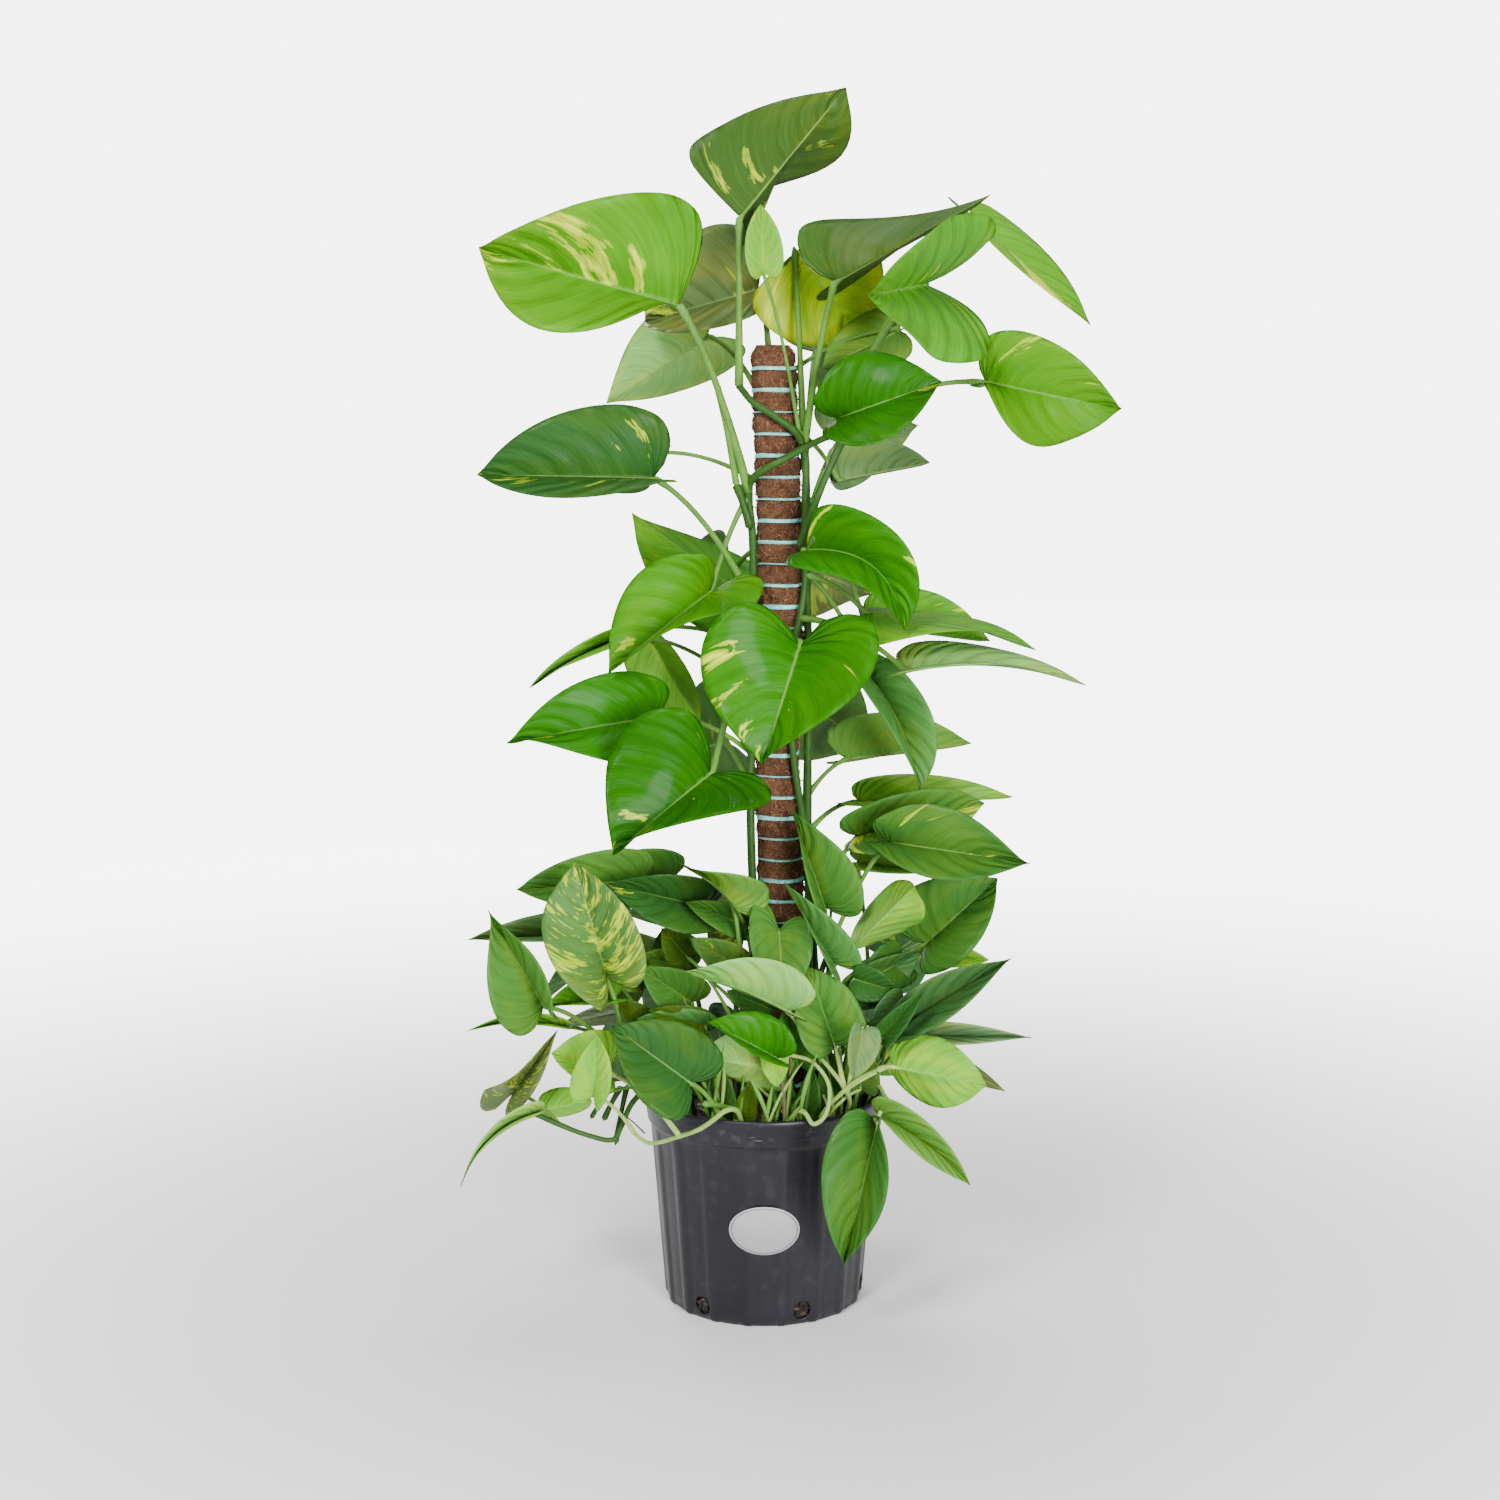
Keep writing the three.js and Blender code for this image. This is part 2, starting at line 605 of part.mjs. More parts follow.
// The blade as a sheet: rows follow the side veins from the midrib to the edge, on both halves
function bladeSheet(leaf, frame, rows, columns) {
  const sheet = new THREE.PlaneGeometry(2, 1, 2 * columns, rows);
  const position = sheet.attributes.position;
  const lobes = leaf.lobes ?? [0, 0];
  for (let i = 0; i < position.count; i += 1) {
    const across = position.getX(i);
    const edge = outlineCurve.getPoint(position.getY(i) + 0.5);
    const lobe = across < 0 ? lobes[0] : lobes[1];
    const edgeLength = edge.y - lobe * Math.max(0, 1 - (edge.y + 0.065) / 0.6) ** 2;
    const veinStart = Math.max(0, (edge.y - 0.12) / 0.88) ** 1.3;
    const length = veinStart + (edgeLength - veinStart) * Math.abs(across);
    const point = bladePoint(leaf, frame, edge.x * across, length);
    position.setXYZ(i, point.x, point.y, point.z);
  }
  return mergedSheet(sheet);
}

// A sheet whose edge has one more point on each side of its base, a short way along the edge. The
// edge runs from the first of them over the base to the second.
function notchedSheet(sheet, base, reach) {
  const points = sheet.attributes.position.array;
  const place = (i) => new THREE.Vector3().fromArray(points, 3 * i);
  const positions = [...points];
  const faces = [...sheet.index.array];
  const foot = positions.findIndex((value, i) => i % 3 === 0 && place(i / 3).distanceTo(base) < 1e-3) / 3;
  const edges = new Map();
  for (let i = 0; i < faces.length; i += 1) {
    const next = i % 3 === 2 ? i - 2 : i + 1;
    edges.set(`${faces[i]} ${faces[next]}`, i);
  }
  const notch = [foot];
  for (const [key, at] of edges) {
    const [from, to] = key.split(" ").map(Number);
    const free = !edges.has(`${to} ${from}`);
    if (free && (from === foot || to === foot)) {
      const other = from === foot ? to : from;
      const step = place(other).sub(base);
      const share = Math.min(0.5, reach / step.length());
      const added = positions.length / 3;
      positions.push(...base.clone().addScaledVector(step, share).toArray());
      const first = at - (at % 3);
      const third = faces[first] + faces[first + 1] + faces[first + 2] - from - to;
      faces.splice(first, 3, from, added, third);
      faces.push(added, to, third);
      if (to === foot) {
        notch.unshift(added);
      } else {
        notch.push(added);
      }
    }
  }
  const split = new THREE.BufferGeometry();
  split.setAttribute("position", new THREE.Float32BufferAttribute(positions, 3));
  split.setIndex(faces);
  split.computeVertexNormals();
  return { split, notch };
}

// A sheet given thickness: the same triangles on both faces and a wall round the edge, left out along
// the edge points of the notch
function thickened(sheet, thickness, notch = []) {
  const position = sheet.attributes.position;
  const normal = sheet.attributes.normal;
  const count = position.count;
  const positions = [];
  for (const side of [0.5, -0.5]) {
    for (let i = 0; i < count; i += 1) {
      positions.push(
        position.getX(i) + side * thickness * normal.getX(i),
        position.getY(i) + side * thickness * normal.getY(i),
        position.getZ(i) + side * thickness * normal.getZ(i),
      );
    }
  }
  const faces = sheet.index.array;
  const edges = new Map();
  const index = [];
  for (let i = 0; i < faces.length; i += 3) {
    const corners = [faces[i], faces[i + 1], faces[i + 2]];
    index.push(...corners);
    index.push(corners[2] + count, corners[1] + count, corners[0] + count);
    corners.forEach((from, k) => edges.set(`${from} ${corners[(k + 1) % 3]}`, [from, corners[(k + 1) % 3]]));
  }
  for (const [from, to] of edges.values()) {
    const inNotch = notch.includes(from) && notch.includes(to);
    if (!edges.has(`${to} ${from}`) && !inNotch) {
      index.push(from, from + count, to, to, from + count, to + count);
    }
  }
  const geometry = new THREE.BufferGeometry();
  geometry.setAttribute("position", new THREE.Float32BufferAttribute(positions, 3));
  geometry.setIndex(index);
  return geometry;
}

// The middle line of a leaf stalk from the blade to the stem: it leaves the blade's base backwards and
// rises a little over the straight way
function stalkPoints(leaf, frame, start, segments) {
  const outwards = bladePoint(leaf, frame, 0, -petioleStart / frame.length);
  const rise = (leaf.rise ?? 0.1) * start.distanceTo(outwards);
  const middle = start.clone().lerp(outwards, 0.5).add(new THREE.Vector3(0, 0, 2 * rise));
  return new THREE.QuadraticBezierCurve3(outwards, middle, start).getPoints(segments);
}

// A leaf: larger blades get more rows and columns, and the stalk's first ring is joined to the open
// notch at the blade's base
function leafSolid(leaf, frame, start) {
  let rows = 4;
  let columns = 1;
  if (leaf.width > 60) {
    rows = 5;
  }
  if (leaf.width > 140) {
    rows = 6;
    columns = 2;
  }
  const thick = petioleRadius * (0.75 + leaf.width / 300);
  const { split, notch } = notchedSheet(bladeSheet(leaf, frame, rows, columns), frame.base, 1.5 * thick);
  const blade = thickened(split, bladeThickness, notch);
  const place = (i) => new THREE.Vector3().fromBufferAttribute(split.attributes.position, i);
  const across = place(notch[2]).sub(place(notch[0])).normalize();
  const points = stalkPoints(leaf, frame, start, 3);
  const radii = [0.8, 1, 1.1, 1.2].map((share) => share * thick);
  const stalk = tubeAlong(points, radii, 3, { across, turn: Math.PI / 6, open: true });
  const count = split.attributes.position.count;
  const firstRing = 2 * count;
  const index = [...blade.index.array, ...Array.from(stalk.index.array, (corner) => corner + firstRing)];
  const [a, b, c, d, e, f] = [notch[2], notch[1], notch[0], notch[0] + count, notch[1] + count, notch[2] + count];
  const [right, left, below] = [firstRing, firstRing + 1, firstRing + 2];
  index.push(a, b, right, left, right, b, b, c, left, c, d, left, below, left, d);
  index.push(d, e, below, e, f, below, right, below, f, f, a, right);
  const geometry = new THREE.BufferGeometry();
  const positions = [...blade.attributes.position.array, ...stalk.attributes.position.array];
  geometry.setAttribute("position", new THREE.Float32BufferAttribute(positions, 3));
  geometry.setIndex(index);
  return solidOf(geometry);
}

// Stems

function poleAxis(height) {
  const wave = new THREE.CatmullRomCurve3([
    new THREE.Vector3(20, poleDepth, 150),
    new THREE.Vector3(19, poleDepth, 378),
    new THREE.Vector3(14, poleDepth, 560),
    new THREE.Vector3(21, poleDepth, 707),
    new THREE.Vector3(10, poleDepth, coirTop),
  ]);
  let low = 0;
  let high = 1;
  while (high - low > 1e-4) {
    const middle = (low + high) / 2;
    if (wave.getPoint(middle).z < height) {
      low = middle;
    } else {
      high = middle;
    }
  }
  return wave.getPoint(low).setZ(height);
}

function roundPole([angle, distance, height]) {
  const turn = degrees(angle);
  return poleAxis(height).add(new THREE.Vector3(distance * Math.cos(turn), distance * Math.sin(turn), 0));
}

function stemCurve(points) {
  return new THREE.CatmullRomCurve3(points, false, "centripetal");
}

// A stem stands in the soil on a straight foot, and tapers to its tip
function stemSolid(stem, curve) {
  const sides = 5;
  const steps = Math.round(1.3 * (stem.path.length - 1));
  const points = curve.getPoints(steps);
  const foot = points[0].clone().setZ(points[0].z - stemSocketDepth);
  const radii = points.map((point, i) => stem.radius * (1 - (0.3 * i) / steps));
  return solidOf(tubeAlong([foot, ...points], [stem.radius, ...radii], sides));
}

function leafyStem(stem, points) {
  const curve = stemCurve(points);
  const solids = [stemSolid(stem, curve)];
  for (const leaf of stem.leaves) {
    const frame = leafFrame(leaf);
    solids.push(leafSolid(leaf, frame, curve.getPoint(leaf.at)));
  }
  return joined(solids);
}

// The pot

function potSolid() {
  const segments = 3 * fluteCount;
  const wallTop = potHeight - collarHeight;
  const outer = [
    [0, baseRadius - 1.5, 0],
    [2, baseRadius, 1],
    [wallTop, wallUnderCollarRadius, 1],
    [wallTop + 2, rimRadius - 3, 0],
    [potHeight - 6, rimRadius - 1.5, 0],
    [potHeight - 5, rimRadius, 0],
    [potHeight, rimRadius, 0],
  ];
  const inner = [
    [potHeight, rimRadius - wallThickness - 0.6, 0],
    [wallTop, wallUnderCollarRadius - fluteDepth - wallThickness, 0],
    [floorThickness, baseRadius - fluteDepth - wallThickness, 0],
  ];
  const rings = [...outer, ...inner].map(([height, radius, fluted]) => {
    const ring = [];
    for (let i = 0; i < segments; i += 1) {
      const angle = (2 * Math.PI * i) / segments;
      const sunk = fluted * fluteDepth * Math.min(i % 3, 1);
      ring.push(new THREE.Vector3((radius - sunk) * Math.cos(angle), (radius - sunk) * Math.sin(angle), height));
    }
    return ring;
  });
  let pot = solidOf(tubeFromRings(rings));
  for (let i = 0; i < drainHoleCount; i += 1) {
    const drill = new THREE.CylinderGeometry(drainHoleRadius, drainHoleRadius, 30, 12);
    drill.rotateZ(Math.PI / 2);
    drill.translate(baseRadius, 0, drainHoleHeight);
    drill.rotateZ(degrees(-90 + drainHoleTurn + (360 * i) / drainHoleCount));
    pot = pot.subtract(solidOf(drill));
  }
  return pot;
}

function wallRadius(height) {
  return baseRadius + ((wallUnderCollarRadius - baseRadius) * height) / (potHeight - collarHeight);
}

// The soil fills the pot to a low mound and has a plain hole for each stem and for the stake
function soilSolid(feet) {
  const clear = fluteDepth + wallThickness + gap + 0.4;
  const profile = [
    new THREE.Vector2(0, floorThickness + gap),
    new THREE.Vector2(baseRadius - clear, floorThickness + gap),
    new THREE.Vector2(wallRadius(soilHeight - 12) - clear, soilHeight - 12),
    new THREE.Vector2(70, soilHeight - 1),
    new THREE.Vector2(0, soilHeight + 1),
  ];
  let soil = solidOf(new THREE.LatheGeometry(profile, 30).rotateX(Math.PI / 2));
  for (const { x, y, radius, sides, depth } of feet) {
    const holeRadius = (radius + gap) / Math.cos(Math.PI / sides);
    const hole = new THREE.CylinderGeometry(holeRadius, holeRadius, depth + 40, sides);
    hole.rotateX(Math.PI / 2);
    hole.translate(x, y, soilHeight + 20 - depth / 2 - gap);
    soil = soil.subtract(solidOf(hole));
  }
  return soil;
}

// The totem pole

function stakeSolid() {
  const top = coirTop - 6;
  const stake = new THREE.CylinderGeometry(stakeRadius, stakeRadius, top - stakeBottom, 12);
  stake.rotateX(Math.PI / 2);
  stake.translate(stakeAcross, poleDepth, (top + stakeBottom) / 2);
  return solidOf(stake);
}

function coirSolid() {
  const steps = 12;
  const sides = 14;
  const rings = [];
  for (let i = 0; i <= steps; i += 1) {
    const height = coirBottom + ((coirTop - coirBottom) * i) / steps;
    const axis = poleAxis(height);
    const swell = 1 - 0.05 * (0.5 + 0.5 * Math.sin(2.3 * i));
    const ring = [];
    for (let side = 0; side < sides; side += 1) {
      const angle = (2 * Math.PI * side) / sides;
      const reach = coirRadius * swell;
      ring.push(axis.clone().add(new THREE.Vector3(reach * Math.cos(angle), reach * Math.sin(angle), 0)));
    }
    rings.push(ring);
  }
  const bore = new THREE.CylinderGeometry(stakeRadius + gap, stakeRadius + gap, coirTop, 12);
  bore.rotateX(Math.PI / 2);
  bore.translate(stakeAcross, poleDepth, coirTop / 2 - 6 + gap);
  return solidOf(tubeFromRings(rings)).subtract(solidOf(bore));
}

// One length of twine wound up the coir from bottom to top
function twineSolid() {
  const start = coirBottom + 8;
  const turns = Math.floor((coirTop - 8 - start) / twinePitch);
  const distance = (coirRadius + gap + twineRadius) / Math.cos(Math.PI / twineStepsPerTurn);
  const points = [];
  for (let i = 0; i <= turns * twineStepsPerTurn; i += 1) {
    const angle = (360 * i) / twineStepsPerTurn;
    points.push(roundPole([angle, distance, start + (twinePitch * i) / twineStepsPerTurn]));
  }
  return solidOf(tubeAlong(points, points.map(() => twineRadius), 3));
}

// The oval label lies on the front of the pot's fluted wall
function labelSolid() {
  const sheet = new THREE.PlaneGeometry(2, 2, 12, 2);
  const position = sheet.attributes.position;
  for (let i = 0; i < position.count; i += 1) {
    const turn = degrees(90 * position.getX(i));
    const height = labelCentreHeight + (position.getY(i) * Math.cos(turn) * labelHeight) / 2;
    const radius = wallRadius(height) + gap + labelThickness / 2;
    const angle = degrees(-90) + (Math.sin(turn) * labelWidth) / 2 / radius;
    position.setXYZ(i, radius * Math.cos(angle), radius * Math.sin(angle), height);
  }
  return solidOf(thickened(mergedSheet(sheet), labelThickness));
}

// Materials

const potPlastic = new THREE.MeshStandardMaterial({ color: 0x33333b, roughness: 0.5, metalness: 0 });
const soilMix = new THREE.MeshStandardMaterial({ color: 0x2c2119, roughness: 1, metalness: 0 });
const stakeWood = new THREE.MeshStandardMaterial({ color: 0x9a7a52, roughness: 0.8, metalness: 0 });
const coirFibre = new THREE.MeshStandardMaterial({ color: 0x8c5f46, roughness: 1, metalness: 0 });
const twineCord = new THREE.MeshStandardMaterial({ color: 0x82c8c3, roughness: 0.6, metalness: 0 });
const labelPaper = new THREE.MeshStandardMaterial({ color: 0xb9b9b9, roughness: 0.5, metalness: 0 });
const climbingGreen = new THREE.MeshStandardMaterial({ color: 0x3f8a28, roughness: 0.4, metalness: 0 });
const shootGreen = new THREE.MeshStandardMaterial({ color: 0x67a34a, roughness: 0.5, metalness: 0 });

// The whole plant

const plant = new THREE.Group();
const feet = [{ x: stakeAcross, y: poleDepth, radius: stakeRadius, sides: 12, depth: soilHeight - stakeBottom }];

function addStem(stem, points, material) {
  feet.push({ x: points[0].x, y: points[0].y, radius: stem.radius, sides: 6, depth: stemSocketDepth });
  plant.add(meshOf(stem.name, leafyStem(stem, points), material));
}

for (const vine of vines) {
  addStem(vine, vine.path.map(roundPole), climbingGreen);
}
for (const shoot of shoots) {
  addStem(shoot, shoot.path.map((point) => new THREE.Vector3(...point)), shootGreen);
}
plant.add(meshOf("pot", potSolid(), potPlastic));
plant.add(meshOf("soil", soilSolid(feet), soilMix));
plant.add(meshOf("pole_stake", stakeSolid(), stakeWood));
plant.add(meshOf("coir_sleeve", coirSolid(), coirFibre));
plant.add(meshOf("twine", twineSolid(), twineCord));
plant.add(meshOf("label", labelSolid(), labelPaper));

export default plant;
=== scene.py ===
import math
import random
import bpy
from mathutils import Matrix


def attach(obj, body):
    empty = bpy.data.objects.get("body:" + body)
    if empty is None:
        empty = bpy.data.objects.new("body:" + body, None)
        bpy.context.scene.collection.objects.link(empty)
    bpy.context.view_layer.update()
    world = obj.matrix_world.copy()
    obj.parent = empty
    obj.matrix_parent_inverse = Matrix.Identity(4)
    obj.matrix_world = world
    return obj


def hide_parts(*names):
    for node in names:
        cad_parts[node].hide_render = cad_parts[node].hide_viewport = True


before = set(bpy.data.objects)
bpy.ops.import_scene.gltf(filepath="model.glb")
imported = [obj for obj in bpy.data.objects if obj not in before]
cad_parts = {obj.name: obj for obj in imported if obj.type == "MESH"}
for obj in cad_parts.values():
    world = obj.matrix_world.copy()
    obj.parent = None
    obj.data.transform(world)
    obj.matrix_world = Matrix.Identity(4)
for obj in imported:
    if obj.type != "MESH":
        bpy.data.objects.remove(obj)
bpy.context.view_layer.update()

from types import SimpleNamespace

import bmesh
import bpy
from mathutils import Matrix, Vector

# A golden pothos on a coir totem pole in a fluted nursery pot. Lengths are in millimetres up to the
# last step of each piece, which brings them to metres.
MM = 0.001

# Driving dimensions of the pot, the soil, the pole and the label, as in the frame
POT_HEIGHT = 215
RIM_RADIUS = 120.5
COLLAR_HEIGHT = 28
COLLAR_FOOT = POT_HEIGHT - COLLAR_HEIGHT
BASE_RADIUS = 100
WALL_UNDER_COLLAR_RADIUS = 115
WALL_THICKNESS = 2.4
FLOOR_THICKNESS = 3
FLUTE_COUNT = 18
FLUTE_DEPTH = 2
FOOT_SCALLOP = 1.6
DRAIN_HOLE_COUNT = 6
DRAIN_HOLE_RADIUS = 8.8
DRAIN_HOLE_HEIGHT = 15
DRAIN_HOLE_TURN = 22
DRILL_LENGTH = 30
SOIL_HEIGHT = 190
COIR_RADIUS = 21
COIR_BOTTOM = 197
COIR_TOP = 957
POLE_DEPTH = 4
TWINE_PITCH = 21
TWINE_START = COIR_BOTTOM + 8
TWINE_BAND_HALF_HEIGHT = 2.1
TWINE_BAND_FLATNESS = 0.36
TWINE_LEVELLING = 3.9
LABEL_WIDTH = 70
LABEL_HEIGHT = 50
LABEL_CENTRE_HEIGHT = 102
LABEL_THICKNESS = 0.6
LABEL_ROWS = 24
GAP = 0.35

# The bow of the pole: how far right its axis lies, and how high
POLE_BOW = [
    Vector((across, POLE_DEPTH, up))
    for across, up in ((20, 150), (19, 378), (13, 560), (17, 707), (8, COIR_TOP))
]

# Driving dimensions of the leaves
BLADE_THICKNESS = 0.8
MIDRIB_THICKNESS = 2.2
MIDRIB_HALF_WIDTH = 1.6
LARGE_BLADE_WIDTH = 75
FULL_RELIEF_WIDTH = 200
LEAF_CURL = 24
LEAF_BOW = 0.07
LEAF_WAVE = 0.024
LOBE_TIP = -0.065
LOBE_END = 0.535
FIRST_VEIN = 0.12
VEIN_CROWDING = 1.3
MIDRIB_TAPER = 0.85
EDGE_THINNING = 0.6

# Driving dimensions of the stems, stalks and roots
STEM_STEPS = 7
STEM_TAPER = 0.3
STEM_NODE_SWELL = 0.16
STEM_SOCKET_DEPTH = 40
STALK_RADIUS = 2.0
STALK_START = 2.5
STALK_REACH_UNDER_BLADE = 5
STALK_STEPS = 18
STALK_RISE = 0.1
STALK_KNEE_SWELL = 0.28
STALK_SHEATH_SWELL = 0.35
SIDE_STEM_STEPS = 14
SPEAR_STEPS = 12
ROOT_BENDS = 5
ROOTS_PER_VINE = 34

# The side veins of a leaf: how many, how they swing up to the edge, and how they lean to the tip
VEIN_COUNT = 13
VEIN_SWEEP = 0.26
VEIN_LEAN = 0.17

# The soil's mound, its crumbs, and the spiral in which crumbs fill a drain hole
MOUND_FALL = 11
MOUND_RADIUS = 105
MOUND_RINGS = 34
CRUMB_DOUBLINGS = 10
CRUMB_REACH = 103
CRUMBS_PER_HOLE = 24
SPIRAL_TURN = 2.4
SPIRAL_RADIUS = 0.782 * DRAIN_HOLE_RADIUS

# The coir and the twine that pulls it in
COIR_FIBRE_COUNT = 6400
COIR_RINGS = 300
SQUEEZE_HALF_HEIGHT = 4.4
TWINE_STEPS_PER_TURN = 36

# The camera stands where the photographer stood, and looks down a little
VIEWING_POINT = Vector((-14, -2360, 892))
CAMERA_PITCH = 8
CAMERA_LENS = 57.6
CAMERA_SENSOR = 36

# Light round the plant in metres: how bright it and the backdrop are, and for each lamp its name,
# place, aim, size and power
WORLD_LIGHT = 0.42
BACKDROP_BRIGHTNESS = 6
FLOOR_HALF_WIDTH = 9
LAMPS = (
    ("key", (-1.2, -2.7, 2.5), (0, 0, 0.6), 1.1, 112),
    ("fill", (1.2, -3.0, 0.8), (0, 0, 0.3), 1.3, 150),
    ("top", (0.2, 0.6, 3.0), (0, 0, 0.6), 1.5, 42),
    ("back", (-1.0, 2.6, 1.6), (0, 0, 0.6), 1.4, 45),
)

# The tones of the leaves as they show in the photograph's light, and of the hidden other side
# Each leaf's tone holds its own painted light and shade: sunlit, shaded and backlit leaves, and a painted
# bluish sheen
TONES = {
    "bright": (0.022, 0.165, 0.002),
    "fresh": (0.084, 0.310, 0.016),
    "mid": (0.066, 0.200, 0.030),
    "dark": (0.042, 0.145, 0.022),
    "deep": (0.026, 0.100, 0.018),
    "dull": (0.068, 0.160, 0.028),
    "ashen": (0.121, 0.231, 0.077),
    "young": (0.185, 0.480, 0.035),
    "light": (0.105, 0.345, 0.008),
    "sunlit": (0.078, 0.285, 0.006),
    "shaded": (0.047, 0.112, 0.015),
    "speckled": (0.085, 0.205, 0.045),
    "rich": (0.015, 0.125, 0.001),
    "grassy": (0.054, 0.230, 0.003),
    "leafy": (0.085, 0.250, 0.052),
    "milky": (0.230, 0.500, 0.120),
    "silver": (0.200, 0.360, 0.160),
    "pale": (0.130, 0.310, 0.045),
    "backlit": (0.350, 0.580, 0.001),
    "olive": (0.048, 0.105, 0.010),
    # a painted bluish sheen
    "bluish": (0.044, 0.132, 0.040),
    "grey": (0.110, 0.170, 0.055),
}
HIDDEN_UNDERSIDE = (0.100, 0.220, 0.045)
HIDDEN_UPPER_SIDE = (0.032, 0.150, 0.008)

# The tones of stems, stalks and roots
STALK_TONE = (0.095, 0.235, 0.030)
PALE_STALK_TONE = (0.330, 0.500, 0.110)
STEM_TONE = (0.026, 0.082, 0.010)
SHOOT_TONE = (0.230, 0.380, 0.080)
OLD_STALK_TONE = (0.110, 0.095, 0.040)
ROOT_TONE = (0.050, 0.030, 0.018)
SIDE_TONES = {"stem": STEM_TONE, "stalk": STALK_TONE, "root": ROOT_TONE, "old": OLD_STALK_TONE}
PALE_SHOOTS = (
    "shoot_over_rim", "shoot_front_arching", "shoot_front_looped", "shoot_right_low",
    "shoot_right_hanging",
)

# The tones of the soil's crumbs, of those behind the drain holes, which are darker with painted shade, and
# of the coir and twine
EARTH_TONE = (0.030, 0.019, 0.012, 1)
BARK_TONE = (0.080, 0.047, 0.028, 1)
PERLITE_TONE = (0.42, 0.40, 0.36, 1)
HOLE_SHADE_EARTH_TONE = (0.012, 0.009, 0.007, 1)
HOLE_SHADE_BARK_TONE = (0.060, 0.040, 0.026, 1)
COIR_TONE = (0.200, 0.094, 0.048, 1)
FIBRE_TONE = (0.400, 0.205, 0.100)
TWINE_TONE = (0.4, 0.7, 0.65)

# The order of the materials of a leafy piece
STEM_MATERIAL = 1
ROOT_MATERIAL = 2

# The half outline of a leaf blade, as shares of half the width across and of the length along
HALF_OUTLINE = [
    Vector((across, along, 0)) for across, along in (
        (0.22, -0.06), (0.55, -0.085), (0.87, -0.01), (1, 0.15), (0.99, 0.32),
        (0.87, 0.52), (0.65, 0.7), (0.37, 0.85), (0.13, 0.945), (0, 1),
    )
]


def leaf(base, tip, width, left, right, at, tone, streaks=0, under=False, side=0, toward=None,
         lobes=(0, 0), spread=((1, 1, 1), (1, 1, 1)), bands=()):
    """A leaf as seen from the front. base and tip are (across, up, depth), where depth counts away
    from the viewer. left and right are each half's angles to the picture at the base, the middle
    and the tip, or one angle for all. at is the place of its stalk along the stem, and tone and
    streaks are its looks. side and toward bow the midrib, and lobes lengthen each half at the base.
    spread widens each half at the base, the middle and the tip. A band of streaks is a half, a place
    along, half its width, where it starts and ends across, and how solid it is."""
    left, right = [angles if isinstance(angles, tuple) else (angles,) * 3 for angles in (left, right)]
    return SimpleNamespace(
        base=base, tip=tip, width=width, left=left, right=right, at=at, tone=tone, streaks=streaks,
        under=under, side=side, toward=toward, lobes=lobes, spread=spread, bands=bands,
    )


def stem(name, radius, path, *leaves, side_stems=(), spears=0):
    """A stem with its leaves. The path of a vine is (angle, distance, height) round the pole, and
    that of a shoot is (right, back, height). A side stem is a start, an end, a radius and a kind."""
    return SimpleNamespace(
        name=name, radius=radius, path=path, leaves=leaves, side_stems=side_stems, spears=spears,
    )


